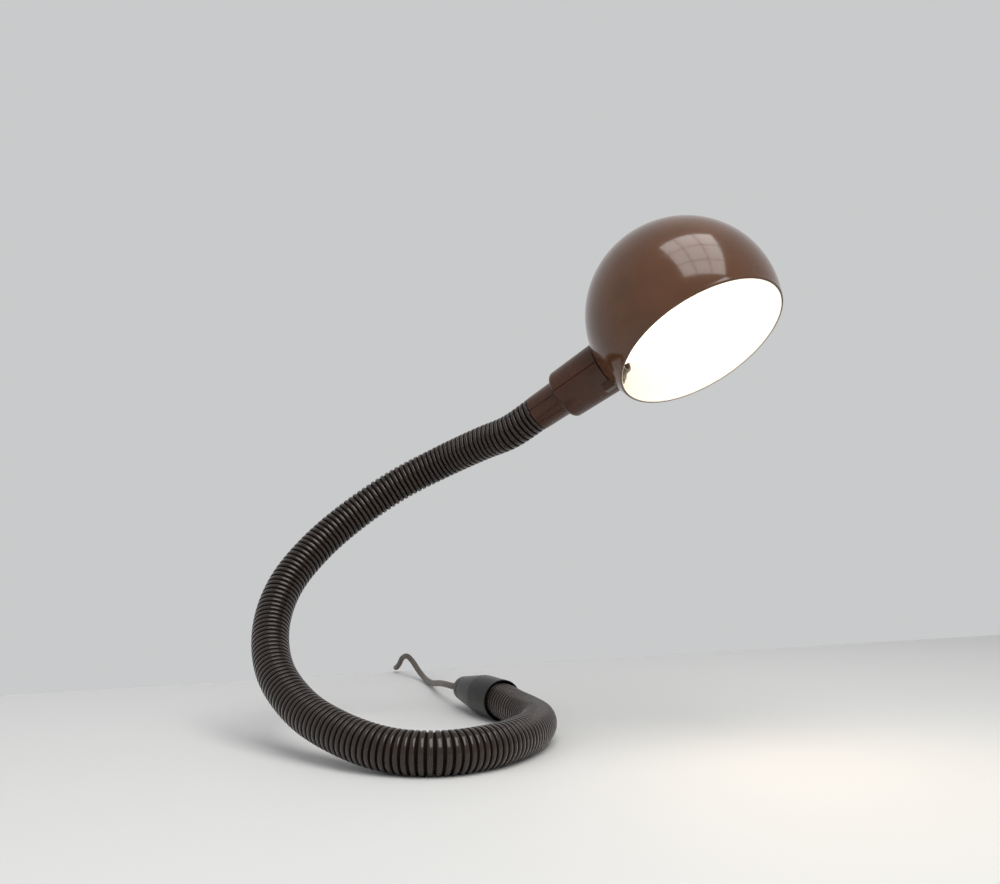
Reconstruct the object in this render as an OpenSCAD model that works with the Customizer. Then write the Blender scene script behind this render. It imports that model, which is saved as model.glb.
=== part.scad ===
// Gooseneck desk lamp: a ribbed bendable neck whose lower end lies on the desk as an
// open hook and carries a ball shade at its upper end. The mains lead leaves the closed
// end of the hook and has a rocker switch and a two-pin plug.

/* [Neck] */
// Outside diameter of the ribbed sheath over its crests
sheath_od = 27; // [25:0.5:30]
// Distance from one sheath rib to the next
rib_pitch = 4.3; // [4:0.1:6]
// Depth of the grooves between the ribs
rib_depth = 1.2; // [0.6:0.1:1.4]
// Outside diameter of the steel spine inside the sheath
spine_od = 19; // [16:0.5:20]
// Wall of the steel spine
spine_wall = 2.5; // [1.5:0.25:3]
// Depth cut flat under the sheath where it rests on the desk
rest_flat = 0.5; // [0.3:0.1:0.8]
// Width of the neck's loop along its centre line, from its left bend to its right bend
loop_w = 195; // [182:1:208]
// Depth of the neck's loop along its centre line, from the front of the hook to its back
loop_d = 196; // [182:1:208]

/* [Head] */
// Height of the neck's upper end above the centre of the resting sheath
head_rise = 226; // [210:1:240]
// Upward angle of the socket housing's axis
neck_elevation = 28; // [20:1:36]
// Turn of the socket housing's axis about the vertical
neck_azimuth = -31; // [-40:1:-22]
// Length of the slim sleeve of the socket housing
sleeve_len = 25; // [22:1:32]
// Diameter of the housing's boss at its shoulder
boss_d = 39; // [38:0.5:42]
// Wall of the socket housing
housing_wall = 2.2; // [1.8:0.2:2.6]

/* [Shade] */
// Outside diameter of the ball shade
shade_d = 140; // [130:1:150]
// Thickness of the shade's sheet metal
shade_wall = 1.2; // [0.8:0.1:1.6]
// Distance from the shade's centre to the plane of its mouth
mouth_offset = 27.6; // [20:0.2:34]
// Lean of the mouth away from square to the housing
mouth_tilt = 5.6; // [0:0.2:12]
// Turn of the mouth about the housing's axis
mouth_roll = -8.5; // [-20:0.5:20]

/* [Bulb] */
// Diameter of the glass ball of the bulb
bulb_d = 45; // [35:1:50]
// Length of the bulb from its tip contact to the front of the glass
bulb_len = 78; // [70:1:82]

/* [End cap] */
// Wall of the end cap round the sheath
cap_wall = 1.1; // [0.9:0.1:2]
// Length of the end cap
cap_len = 76; // [70:1:90]
// Diameter of the end cap's narrow end
cap_tip_d = 20; // [17:0.5:23]
// Depth of the sheath inside the end cap
cap_insert = 26; // [20:1:30]

/* [Mains lead] */
// Diameter of the mains lead
cord_d = 5.5; // [4.6:0.1:5.8]
// Middle radius of the outermost turn of the coiled lead
coil_r = 42.7; // [42:0.1:46]
// Number of turns of the coiled lead
coil_turns = 6.4; // [4.4:1:6.4]

/* [Switch and plug] */
// Length of the inline switch
switch_len = 62; // [56:1:66]
// Width of the inline switch
switch_w = 24; // [22:1:28]
// Height of the inline switch
switch_h = 16; // [15:0.5:18]
// Length of the plug's body with its tapered lead relief
plug_len = 50; // [46:1:56]
// Length of the plug's tapered lead relief
relief_len = 20; // [20:1:24]
// Diameter of the plug's pins
pin_d = 4; // [4:0.5:5]
// Free length of the plug's pins
pin_len = 19; // [17:1:20]
// Distance between the plug's pins
pin_spacing = 18.6; // [17:0.2:20]

/* [Hidden] */
$fn = 64;

// Clearances: between nested soft or curved faces, and between fitted rigid pieces
slide_gap = 0.3;
fit_gap = 0.1;
sides = 8;
flat_turn = 180 / sides;

// ---- route of the neck, from the end cap to the socket housing ----
rest_z = sheath_od / 2 - rest_flat;
cap_bore_r = sheath_od / 2 / cos(flat_turn) + slide_gap;
cap_r = cap_bore_r + cap_wall;
cap_azimuth = 116;
cap_dir = [cos(cap_azimuth), sin(cap_azimuth), 0];
// Width, depth and rise of the loop in which the points below are drawn
drawn = [195, 196, 226];
function fitted(p) = [p[0] * loop_w / drawn[0], p[1] * loop_d / drawn[1],
    rest_z + p[2] * head_rise / drawn[2]];
cap_mouth = [-7 * loop_w / drawn[0], 62 * loop_d / drawn[1], cap_r];
neck_dir = [cos(neck_elevation) * cos(neck_azimuth),
    cos(neck_elevation) * sin(neck_azimuth), sin(neck_elevation)];
head_seat = fitted([20, 27, drawn[2]]);
neck_straight = 28;
// Points between the two straight ends: x, y and the rise above the resting sheath
hook_points = [[4, 38, 1], [13, 16, 0], [18, -10, 0], [14, -41, 0], [2, -74, 0],
    [-18, -103, 0], [-46, -120, 0], [-77, -115, 1]];
arm_points = [[-110, -94, 7], [-141, -64, 18], [-166, -30, 38], [-177, 4, 65],
    [-173, 32, 94], [-155, 54, 122], [-128, 69, 148], [-93, 76, 173], [-56, 72, 192],
    [-24, 55, 205]];
route = concat([cap_mouth + cap_insert * cap_dir, cap_mouth],
    [for (p = concat(hook_points, arm_points)) fitted(p)],
    [head_seat - neck_straight * neck_dir, head_seat]);

// A smooth curve through all the points of a route
function curve_at(p, i, t) = let (
        a = i > 0 ? p[i - 1] : 2 * p[0] - p[1],
        b = p[i],
        c = p[i + 1],
        d = i + 2 < len(p) ? p[i + 2] : 2 * c - b)
    0.5 * (2 * b + (c - a) * t + (2 * a - 5 * b + 4 * c - d) * t * t
        + (3 * b - a - 3 * c + d) * t * t * t);
function curve(p, n) = concat(
    [for (i = [0:len(p) - 2], k = [0:n - 1]) curve_at(p, i, k / n)], [p[len(p) - 1]]);
function run_lengths(p, i = 1, sum = 0, out = [0]) = i >= len(p) ? out
    : let (next = sum + norm(p[i] - p[i - 1])) run_lengths(p, i + 1, next, concat(out, [next]));
function tables(p) = let (s = run_lengths(p))
    [for (k = [0:2]) [for (i = [0:len(p) - 1]) [s[i], p[i][k]]]];
function at(t, s) = [lookup(s, t[0]), lookup(s, t[1]), lookup(s, t[2])];
function unit(v) = v / norm(v);
function heading(t, s, h = 2) = unit(at(t, s + h) - at(t, s - h));
function side_of(d) = unit(cross(d, [0, 0, 1]));

neck_curve = curve(route, 10);
neck_table = tables(neck_curve);
neck_len = run_lengths(neck_curve)[len(neck_curve) - 1];

// ---- one regular ring of points square to a route, moved down by drop ----
function ring(t, s, flat_r, n, drop = 0) = let (
        c = at(t, s),
        d = heading(t, min(max(s, 2.01), t[0][len(t[0]) - 1][0] - 2.01)),
        x = side_of(d),
        z = cross(x, d),
        r = flat_r / cos(180 / n))
    [for (k = [0:n - 1]) let (a = (k + 0.5) * 360 / n)
        c + r * cos(a) * x + (r * sin(a) - drop) * z];
function flatten_list(l) = [for (a = l, b = a) b];
function skin(rings, n, start, out) = [for (i = [0:rings - 2], k = [0:n - 1], h = [0, 1]) let (
        a = start + i * n + k,
        b = start + i * n + (k + 1) % n,
        c = b + n,
        d = a + n,
        f = h == 0 ? [a, b, c] : [a, c, d])
    out ? f : [f[2], f[1], f[0]]];
function lid(n, start, out) = [for (k = [1:n - 2]) out ? [start, start + k, start + k + 1]
    : [start, start + k + 1, start + k]];
function washer_face(n, o, i, out) = [for (k = [0:n - 1], h = [0, 1]) let (
        l = (k + 1) % n,
        f = h == 0 ? [o + k, o + l, i + l] : [o + k, i + l, i + k])
    out ? f : [f[2], f[1], f[0]]];

// A solid bar of n sides through the stations [s, flat radius, drop] of a route
module bar(t, stations, n) {
    rings = [for (q = stations) ring(t, q[0], q[1], n, q[2])];
    m = len(rings);
    polyhedron(points = flatten_list(rings), faces = concat(
        skin(m, n, 0, true), lid(n, 0, false), lid(n, (m - 1) * n, true)));
}

// A tube of n sides: outer and inner stations [s, flat radius] end at the same places
module tube(t, outer, inner, n) {
    o = [for (q = outer) ring(t, q[0], q[1], n)];
    i = [for (q = inner) ring(t, q[0], q[1], n)];
    oc = len(o) * n;
    polyhedron(points = concat(flatten_list(o), flatten_list(i)), faces = concat(
        skin(len(o), n, 0, true), skin(len(i), n, oc, false),
        washer_face(n, 0, oc, false),
        washer_face(n, (len(o) - 1) * n, oc + (len(i) - 1) * n, true)));
}

// ---- how the neck is parted: five pivots make six rigid lengths ----
pivots = [345, 420, 500, 578, 656];
bellows_ribs = 2;
bellows_len = bellows_ribs * rib_pitch;
spine_stop = 2.5;
most_bend = 20;
function part_from(i, stop, first) = i == 0 ? first : pivots[i - 1] + stop;
function part_to(i, stop, last) = i == 5 ? last : pivots[i] - stop;
sheath_stop = bellows_len / 2 + slide_gap;
sheath_end = neck_len - slide_gap;
bore_r = spine_od / 2 + slide_gap;
spine_r = spine_od / 2;
spine_bore_r = spine_r - spine_wall;
crest_r = sheath_od / 2;
root_r = crest_r - rib_depth;

// Two rings for each rib: one in the groove and one on the crest
function ribs(a, b) = let (n = max(1, round((b - a) / rib_pitch)))
    [for (i = [0:2 * n]) [a + (b - a) * i / (2 * n), i % 2 == 0 ? root_r : crest_r]];
function spans(a, b) = max(1, ceil((b - a) / (3 * rib_pitch)));
function stations(a, b) = let (n = spans(a, b)) [for (i = [0:n]) a + (b - a) * i / n];
function sheath_stations(i) = stations(part_from(i, sheath_stop, 0),
    part_to(i, sheath_stop, sheath_end));
function with_ends(l, a, b) = concat([a], [for (s = l) if (s > a + 1 && s < b - 1) s], [b]);

// Everything under the desk plane, to cut the resting ribs flat
desk_half = loop_w + loop_d;
module under_desk() translate([-desk_half, -desk_half, -sheath_od])
    cube([2 * desk_half, 2 * desk_half, sheath_od]);

module sheath(i) {
    a = part_from(i, sheath_stop, 0);
    b = part_to(i, sheath_stop, sheath_end);
    color("#2e2420") difference() {
        tube(neck_table, ribs(a, b), [for (s = stations(a, b)) [s, bore_r]], sides);
        if (i == 0) under_desk();
    }
}

module bellows(i) {
    a = pivots[i] - bellows_len / 2;
    b = pivots[i] + bellows_len / 2;
    color("#2e2420") tube(neck_table, ribs(a, b), [for (s = [a, b]) [s, bore_r]], sides);
}

module spine(i) {
    s = with_ends(sheath_stations(i), part_from(i, spine_stop, slide_gap),
        part_to(i, spine_stop, neck_len));
    color("#8c9094") tube(neck_table, [for (q = s) [q, spine_r]],
        [for (q = s) [q, spine_bore_r]], sides);
}

// The lead lies along the bottom of the spine's bore and centres itself at both ends
lead_drop = spine_bore_r - cord_d / 2 - slide_gap;
lead_stop = (lead_drop + cord_d / 2) * tan(most_bend / 2) + 2 * slide_gap;
lead_bore_r = cord_d / 2 / cos(flat_turn) + 2 * slide_gap;
spigot_r = spine_bore_r - 2 * slide_gap;
spigot_len = 12;
ramp_from = 20;
ramp_len = 30;
function ramp(x) = let (t = min(1, max(0, x))) t * t * (3 - 2 * t);
function drop_at(s) = lead_drop * ramp((s - ramp_from) / ramp_len)
    * ramp((neck_len - ramp_from - s) / ramp_len);
module lead(i) {
    s = with_ends(sheath_stations(i), part_from(i, lead_stop, 0),
        part_to(i, lead_stop, neck_len));
    color("#5a4d44") {
        bar(neck_table, [for (q = s) [q, cord_d / 2, drop_at(q)]], sides);
        if (i == 0) cap_frame() translate([0, 0, cap_insert + fit_gap])
            cylinder(r = cord_d / 2, h = cap_len - cap_insert - grip_len - 2 * fit_gap);
        if (i == 5) neck_frame() translate([0, 0, fit_gap])
            cylinder(r = cord_d / 2, h = holder_from - 2 * fit_gap);
    }
}

// ---- end cap ----
// Local frame: the cap's axis from its mouth to its tip
module cap_frame() translate(cap_mouth) rotate([0, 90, cap_azimuth]) children();

cap_shoulder = cap_insert + 7;
cap_tip_r = cap_tip_d / 2;
tip_round = 1.5;
grip_len = 18;
grip_r = 6;
ferrule_r = 9.5;
ferrule_to = cap_len - grip_len;
screw_at = ferrule_to - 14;
screw_turn = 50;
screw_head_t = 1.5;
screw_head_at = cap_r - 3.5;

// Outline of the cap: a straight mouth, then a cone with a rounded edge at its narrow end
function cap_outline() = concat([[0, 0], [cap_r, 0], [cap_r, cap_shoulder]],
    [for (k = [0:5]) let (a = k * 18) [cap_tip_r - tip_round * (1 - cos(a)), cap_len - tip_round
        + tip_round * sin(a)]], [[0, cap_len]]);

// Set screw's frame: z outwards, down and towards the front
module screw_frame() translate([0, 0, screw_at]) rotate([0, 0, screw_turn]) rotate([0, 90, 0])
    children();

module end_cap() {
    color("#2b2624") cap_frame() difference() {
        rotate_extrude() polygon(cap_outline());
        translate([0, 0, -1]) cylinder(r = cap_bore_r, h = cap_insert + 1);
        translate([0, 0, cap_insert - 1])
            cylinder(r = ferrule_r + 4 * fit_gap, h = ferrule_to - cap_insert + 1 + slide_gap);
        translate([0, 0, ferrule_to - 1]) cylinder(r = grip_r + fit_gap, h = cap_len);
        screw_frame() cylinder(d = 3.2, h = cap_r);
        screw_frame() translate([0, 0, screw_head_at]) cylinder(d = 6, h = cap_r);
    }
}

module end_cap_screw() {
    color("#9a9a98") cap_frame() screw_frame() {
        translate([0, 0, ferrule_r - 4]) cylinder(d = 3, h = screw_head_at - ferrule_r + 4);
        difference() {
            translate([0, 0, screw_head_at + fit_gap]) cylinder(d = 5.6, h = screw_head_t);
            translate([-3, -0.4, screw_head_at + 0.8]) cube([6, 0.8, screw_head_t]);
        }
    }
}

module bottom_ferrule() {
    color("#b9b9b4") cap_frame() difference() {
        union() {
            translate([0, 0, cap_insert + fit_gap])
                cylinder(r = ferrule_r, h = ferrule_to - cap_insert - fit_gap);
            translate([0, 0, cap_insert - spigot_len]) cylinder(r = spigot_r, h = spigot_len + 1);
        }
        translate([0, 0, cap_insert - spigot_len - 1]) cylinder(r = lead_bore_r, h = cap_len);
        screw_frame() cylinder(d = 3 + 2 * fit_gap, h = cap_r);
    }
}

module cord_grip() {
    color("#3a3430") cap_frame() difference() {
        union() {
            translate([0, 0, ferrule_to + slide_gap])
                cylinder(r = grip_r, h = cap_len - ferrule_to - slide_gap - 1);
            translate([0, 0, cap_len - 1]) cylinder(r1 = grip_r, r2 = grip_r - 1.2, h = 2.4);
        }
        translate([0, 0, ferrule_to - 1]) cylinder(r = cord_d / 2 + fit_gap, h = cap_len);
    }
}

// ---- head ----
// Local frame: z along the housing's axis from the neck's end, x downwards
module neck_frame() translate(head_seat) rotate([0, 90 - neck_elevation, neck_azimuth]) children();

shade_r = shade_d / 2;
shade_from = 65;
shade_at = shade_from + shade_r;
sleeve_r = sheath_od / 2 + 0.2;
sleeve_end_r = sleeve_r + 0.7;
boss_r = boss_d / 2;
boss_flare = 1.3;
shoulder_round = 4;
boss_bore_r = boss_r - housing_wall;
sleeve_bore_r = sleeve_r - housing_wall;
bulkhead_t = 3;
bulkhead_to = sleeve_len + bulkhead_t;
nipple_r = 5;
nipple_bore_r = cord_d / 2 + slide_gap;
nut_t = 4;
holder_from = bulkhead_to + 12;
holder_r = 13.3;
holder_to = shade_at - shade_r + 15;
nipple_to = holder_from + 5;
nipple_from = 9;
bulb_from = holder_from + 14;
bulb_bore_r = 8.2;
pillar_at = bulkhead_to + 6.5;
pillar_y = boss_r - 8;
pillar_r = 3;
shade_hole_r = holder_r + 0.8;
flange_t = 2;
flange_at = shade_at - shade_r - 7;

module top_ferrule() {
    color("#b9b9b4") neck_frame() difference() {
        union() {
            translate([0, 0, -spigot_len]) cylinder(r = spigot_r, h = spigot_len + 1);
            translate([0, 0, fit_gap]) cylinder(r = sleeve_bore_r - fit_gap, h = sleeve_len - 3);
        }
        translate([0, 0, -spigot_len - 1]) cylinder(r = lead_bore_r, h = nipple_to);
        translate([0, 0, nipple_from]) cylinder(r = nipple_r + fit_gap, h = sleeve_len);
    }
}

module nipple() {
    color("#c9a24d") neck_frame() difference() {
        translate([0, 0, nipple_from + fit_gap])
            cylinder(r = nipple_r, h = nipple_to - nipple_from - 2 * fit_gap);
        translate([0, 0, 0]) cylinder(r = nipple_bore_r, h = nipple_to + 1);
    }
}

module locknut() {
    color("#c9a24d") neck_frame() difference() {
        translate([0, 0, bulkhead_to + fit_gap]) cylinder(r = 7.5, h = nut_t, $fn = 6);
        cylinder(r = nipple_r + fit_gap, h = nipple_to);
    }
}

// Outline of the housing's outside, from the neck's end to inside the shade
boss_to = shade_at - shade_r + 12;
function housing_outline() = concat([[0, 0], [sleeve_r, 0], [sleeve_end_r, sleeve_len]],
    [for (k = [0:6]) let (a = k * 15) [boss_r - shoulder_round * (1 - sin(a)),
        sleeve_len + shoulder_round * (1 - cos(a))]],
    [[boss_r + boss_flare, boss_to], [0, boss_to]]);

module housing_whole() {
    difference() {
        rotate_extrude() polygon(housing_outline());
        translate([0, 0, -1]) cylinder(r = sleeve_bore_r, h = sleeve_len + 1);
        cylinder(r = nipple_r + 2 * fit_gap, h = boss_to);
        translate([0, 0, bulkhead_to]) cylinder(r = boss_bore_r, h = boss_to);
        translate([0, 0, shade_at]) sphere(r = shade_r + slide_gap, $fn = 128);
    }
    for (y = [-pillar_y, pillar_y]) intersection() {
        translate([0, y, pillar_at]) rotate([0, 90, 0])
            cylinder(r = pillar_r, h = 2 * boss_r, center = true);
        translate([0, 0, sleeve_len]) cylinder(r = boss_bore_r + 1, h = boss_to);
    }
}

module housing_half(s) {
    difference() {
        intersection() {
            housing_whole();
            translate([s > 0 ? fit_gap / 2 : -60 - fit_gap / 2, -60, -1]) cube([60, 120, 120]);
        }
        for (y = [-pillar_y, pillar_y]) {
            translate([-pillar_y, y, pillar_at]) rotate([0, 90, 0]) cylinder(d = 2.4, h = 40);
            if (s > 0) translate([sqrt(boss_r * boss_r - pillar_y * pillar_y) - 3.5, y, pillar_at])
                rotate([0, 90, 0]) cylinder(d = 5.6, h = 20);
        }
    }
}

module housing_upper() {
    color("#33241f") neck_frame() housing_half(-1);
}

module housing_lower() {
    color("#33241f") neck_frame() housing_half(1);
}

module housing_screws() {
    head_x = sqrt(boss_r * boss_r - pillar_y * pillar_y) - 3.5;
    color("#a8a8a6") neck_frame() for (y = [-pillar_y, pillar_y])
        translate([0, y, pillar_at]) rotate([0, 90, 0]) {
            translate([0, 0, -pillar_y + 4]) cylinder(d = 2.2, h = head_x + pillar_y - 4);
            difference() {
                translate([0, 0, head_x]) cylinder(d = 5, h = 1.6);
                translate([-3, -0.4, head_x + 0.8]) cube([6, 0.8, 2]);
            }
        }
}

module lampholder() {
    color("#1f1c1b") neck_frame() difference() {
        union() {
            translate([0, 0, holder_from]) cylinder(r = holder_r, h = holder_to - holder_from);
            translate([0, 0, flange_at]) cylinder(r = boss_bore_r - slide_gap, h = flange_t);
        }
        translate([0, 0, holder_from - 1]) cylinder(r = nipple_r + fit_gap, h = 6.1);
        translate([0, 0, bulb_from - 5]) cylinder(r = bulb_bore_r, h = holder_to);
        translate([0, 0, holder_to - 7]) cylinder(r = 11, h = 8);
        for (y = [-8, 8]) translate([0, y, holder_from - 1]) cylinder(d = 3.2, h = 8);
    }
}

module lampholder_shell() {
    color("#c9a24d") neck_frame() difference() {
        translate([0, 0, bulb_from + 3]) cylinder(r = bulb_bore_r - fit_gap, h = 14);
        translate([0, 0, bulb_from]) cylinder(r = 7.2, h = 20);
    }
}

module centre_contact() {
    color("#c9a24d") neck_frame() {
        translate([0, 0, bulb_from - 5 + fit_gap]) cylinder(r = 4, h = 1);
        translate([0, 0, bulb_from - 4 + fit_gap]) cylinder(r1 = 3, r2 = 1.5, h = 3.8);
    }
}

module terminal_screws() {
    color("#c9a24d") neck_frame() for (y = [-8, 8]) difference() {
        translate([0, y, holder_from + 0.5]) cylinder(d = 3, h = 6.3);
        translate([-3, y - 0.35, holder_from]) cube([6, 0.7, 1.3]);
    }
}

ring_r = 18;
ring_at = shade_at - sqrt(pow(shade_r - shade_wall, 2) - ring_r * ring_r) + slide_gap;
module shade_ring() {
    color("#1f1c1b") neck_frame() difference() {
        union() {
            translate([0, 0, ring_at]) cylinder(r = ring_r, h = 2);
            translate([0, 0, ring_at + 2]) cylinder(r = holder_r + 2.3, h = 3);
        }
        cylinder(r = holder_r + fit_gap, h = shade_at);
    }
}

// ---- bulb ----
cap_thread_r = 6.9;
bulb_ball_at = bulb_from + bulb_len - bulb_d / 2;
glass_from = bulb_from + 20;
glass_t = 0.8;
neck_glass_r = 6.3;

// Glass outline: a ball drawn into a slim neck by a smooth curve
function glass_outline(inset) = let (
        r = bulb_d / 2 - inset,
        join = 40,
        x1 = r * sin(join),
        z1 = bulb_ball_at - r * cos(join),
        n = neck_glass_r - inset)
    concat([[0, glass_from], [n, glass_from]],
        [for (k = [0:6]) let (t = k / 6) [n + (x1 - n) * t * t, glass_from + 3
            + (z1 - glass_from - 3) * (2 * t - t * t) * 0.5 + (z1 - glass_from - 3) * t * 0.5]],
        [for (a = [join + 10:10:180]) [max(0, r * sin(a)), bulb_ball_at - r * cos(a)]]);

module bulb_glass() {
    color("#fff1c8") neck_frame() rotate_extrude() difference() {
        polygon(glass_outline(0));
        translate([0, -0.01]) polygon(glass_outline(glass_t));
    }
}

module bulb_cap() {
    color("#c8c8c8") neck_frame() difference() {
        union() {
            translate([0, 0, bulb_from + 3]) cylinder(r = cap_thread_r, h = 18);
            translate([0, 0, bulb_from + 1]) cylinder(r1 = 4, r2 = cap_thread_r, h = 2.01);
        }
        translate([0, 0, bulb_from + 4]) cylinder(r = neck_glass_r + fit_gap, h = 20);
        cylinder(r = 3, h = bulb_from + 6);
    }
}

module bulb_contact() {
    color("#222222") neck_frame() {
        translate([0, 0, bulb_from]) cylinder(r1 = 2, r2 = 2.9, h = 1);
        translate([0, 0, bulb_from + 1]) cylinder(r = 2.9, h = 4);
    }
}

stem_to = bulb_ball_at - 8;
module bulb_stem() {
    color("#e8eef0") neck_frame() {
        translate([0, 0, glass_from + fit_gap]) cylinder(r1 = 5.3, r2 = 3, h = 8);
        translate([0, 0, glass_from + 8]) cylinder(r1 = 3, r2 = 1.2, h = stem_to - glass_from - 8);
    }
}

filament_r = 9;
filament_rise = 5.2;
filament_hub_z = stem_to + fit_gap;
module bulb_filament() {
    color("#f0c060") neck_frame() translate([0, 0, filament_hub_z]) {
        cylinder(r = 1.4, h = 1.4);
        for (a = [0, 120, 240]) rotate([0, 0, a]) translate([0, 0, 0.7])
            rotate([0, 90 - atan(filament_rise / filament_r), 0])
                cylinder(d = 0.7, h = norm([filament_r, filament_rise]), $fn = 16);
        translate([0, 0, filament_rise + 0.7]) rotate_extrude($fn = 48)
            translate([filament_r, 0]) circle(d = 1.1, $fn = 16);
    }
}

// ---- shade ----
module mouth_frame() translate([0, 0, shade_at]) rotate([0, 0, mouth_roll])
    rotate([0, 90 - mouth_tilt, 0]) children();

rim_r = sqrt(shade_r * shade_r - mouth_offset * mouth_offset);
bead_r = 1.1;
module shade() {
    color("#54352b") neck_frame() difference() {
        union() {
            difference() {
                translate([0, 0, shade_at]) sphere(r = shade_r, $fn = 128);
                translate([0, 0, shade_at]) sphere(r = shade_r - shade_wall, $fn = 128);
                mouth_frame() translate([-shade_d, -shade_d, mouth_offset])
                    cube([2 * shade_d, 2 * shade_d, shade_d]);
            }
            mouth_frame() translate([0, 0, mouth_offset]) rotate_extrude()
                translate([rim_r - bead_r, 0]) circle(r = bead_r, $fn = 24);
        }
        cylinder(r = shade_hole_r, h = shade_at);
    }
}

// ---- mains lead behind the lamp ----
// Hand-laid points of the free lead, from the cap's tip to the switch
cord_r = cord_d / 2;
cord_exit = cap_mouth + (cap_len + 1.6) * cap_dir;
lift = 1;
switch_from = [-140, 418];
switch_azimuth = 107;
switch_dir = [cos(switch_azimuth), sin(switch_azimuth), 0];
cord_line_z = switch_h / 2;
cord_points = [[-50, 149, 15], [-58, 172, 13.5], [-65, 200, 10.5], [-71, 228, 6.5],
    [-77, 254, 4], [-85, 284, 4], [-93, 304, 9.5], [-100, 318, 16.5], [-107, 330, 20.5],
    [-113, 341, 17], [-117, 351, 10], [-121, 362, 5], [-125, 376, 3.5], [-130, 392, 5]];
cord_route = concat([cord_exit, cord_exit + cord_d * cap_dir], cord_points,
    [concat(switch_from, [cord_line_z]) - cord_d * switch_dir,
        concat(switch_from, [cord_line_z])]);
cord_curve = curve(cord_route, 6);
cord_table = tables(cord_curve);
run_len = run_lengths(cord_curve)[len(cord_curve) - 1];
module cord_run() {
    n = ceil(run_len / (2.5 * cord_d));
    color("#6b5f55") bar(cord_table,
        [for (i = [0:n]) [fit_gap + (run_len - 2 * fit_gap) * i / n, cord_r, 0]], sides);
}

// Coil: spirals in on the lower layer, climbs in half a turn and spirals out above
coil_step = cord_d + 0.6;
coil_lead_in = 38;
coil_lead_out = 32;
coil_low_z = cord_r + lift;
coil_high_z = coil_low_z + coil_step;
layer_turns = coil_turns / 2;
coil_start = concat(switch_from, [0]) + (switch_len + coil_lead_in) * switch_dir;
coil_side = [sin(switch_azimuth), -cos(switch_azimuth), 0];
coil_centre = coil_start + coil_r * coil_side;
coil_from = switch_azimuth + 90;
rings_per_turn = 24;
function coil_point(t) = let (
        u = t <= layer_turns ? t : coil_turns - t,
        r = coil_r - coil_step * u,
        z = coil_low_z + coil_step * ramp((t - layer_turns + 0.25) / 0.5),
        a = coil_from - 360 * t)
    [coil_centre[0] + r * cos(a), coil_centre[1] + r * sin(a), z];
coil_last = coil_from - 360 * coil_turns;
coil_out_dir = [sin(coil_last), -cos(coil_last), 0];
plug_z = 7;
coil_out = coil_point(coil_turns);
plug_seat = [coil_out[0], coil_out[1], plug_z] + coil_lead_out * coil_out_dir;
coil_in = concat(switch_from, [cord_line_z]) + switch_len * switch_dir;
coil_route = concat(
    [coil_in, coil_in + cord_d * switch_dir,
        coil_in + 0.55 * coil_lead_in * switch_dir - [0, 0, 0.6 * (cord_line_z - coil_low_z)],
        coil_in + 0.8 * coil_lead_in * switch_dir - [0, 0, cord_line_z - coil_low_z]],
    [for (i = [0:rings_per_turn * coil_turns]) coil_point(i / rings_per_turn)],
    [plug_seat - 0.6 * coil_lead_out * coil_out_dir + [0, 0, (coil_high_z - plug_z) * 0.5],
        plug_seat - cord_d * coil_out_dir, plug_seat]);
coil_lengths = run_lengths(coil_route);
coil_len = coil_lengths[len(coil_route) - 1];
// Least gap of the coil to itself, between points at least half a turn apart
function coil_gap(p, far) = min([for (i = [0:2:len(p) - far - 1]) min([for (k = [i + far:len(p) - 1])
    norm(p[i] - p[k])])]) - cord_d;
echo(coil_least_gap = coil_gap(coil_route, 12));
echo(lead_total_mm = run_len + switch_len + coil_len, coil_len = coil_len, run_len = run_len);

function ring_between(a, b, c, r, n) = let (
        d = unit(c - a),
        x = side_of(d),
        z = cross(x, d))
    [for (k = [0:n - 1]) b + r * cos(k * 360 / n) * x + r * sin(k * 360 / n) * z];
module cord_coil() {
    p = coil_route;
    m = len(p);
    n = 6;
    rings = [for (i = [0:m - 1]) let (
            b = i == 0 ? p[0] + fit_gap * switch_dir : i == m - 1 ? p[i] - fit_gap * coil_out_dir : p[i])
        ring_between(p[max(0, i - 1)], b, p[min(m - 1, i + 1)], cord_r, n)];
    color("#6b5f55") polyhedron(points = flatten_list(rings), faces = concat(
        skin(m, n, 0, true), lid(n, 0, false), lid(n, (m - 1) * n, true)));
}

// Strap round the turns of the coil
tie_w = 8;
tie_t = 0.7;
tie_angle = 300;
module cord_tie() {
    half_w = coil_step * layer_turns / 2 + cord_r + 2 * slide_gap;
    mid_r = coil_r - coil_step * layer_turns / 2;
    low = coil_low_z - cord_r - slide_gap;
    high = coil_high_z + cord_r + slide_gap;
    color("#1c1c1c") translate([coil_centre[0], coil_centre[1], 0]) rotate([0, 0, tie_angle])
        translate([mid_r, 0, 0]) difference() {
            translate([-half_w - tie_t, -tie_w / 2, low - tie_t])
                cube([2 * (half_w + tie_t), tie_w, high - low + 2 * tie_t]);
            translate([-half_w, -tie_w, low]) cube([2 * half_w, 2 * tie_w, high - low]);
        }
}

// ---- inline switch ----
// Local frame: x along the switch from the lamp side, z up from the desk
module switch_frame() translate(concat(switch_from, [0])) rotate([0, 0, switch_azimuth]) children();

shell_wall = 2;
switch_parting = switch_h / 2;
end_round = 6;
rocker_l = 18;
rocker_w = 10;
rocker_pin_r = 1.2;
rocker_z = switch_h - 3.5;
switch_mid = switch_len / 2;
switch_screw_x = 9;
switch_screw_y = switch_w / 2 - 4.6;

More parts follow.
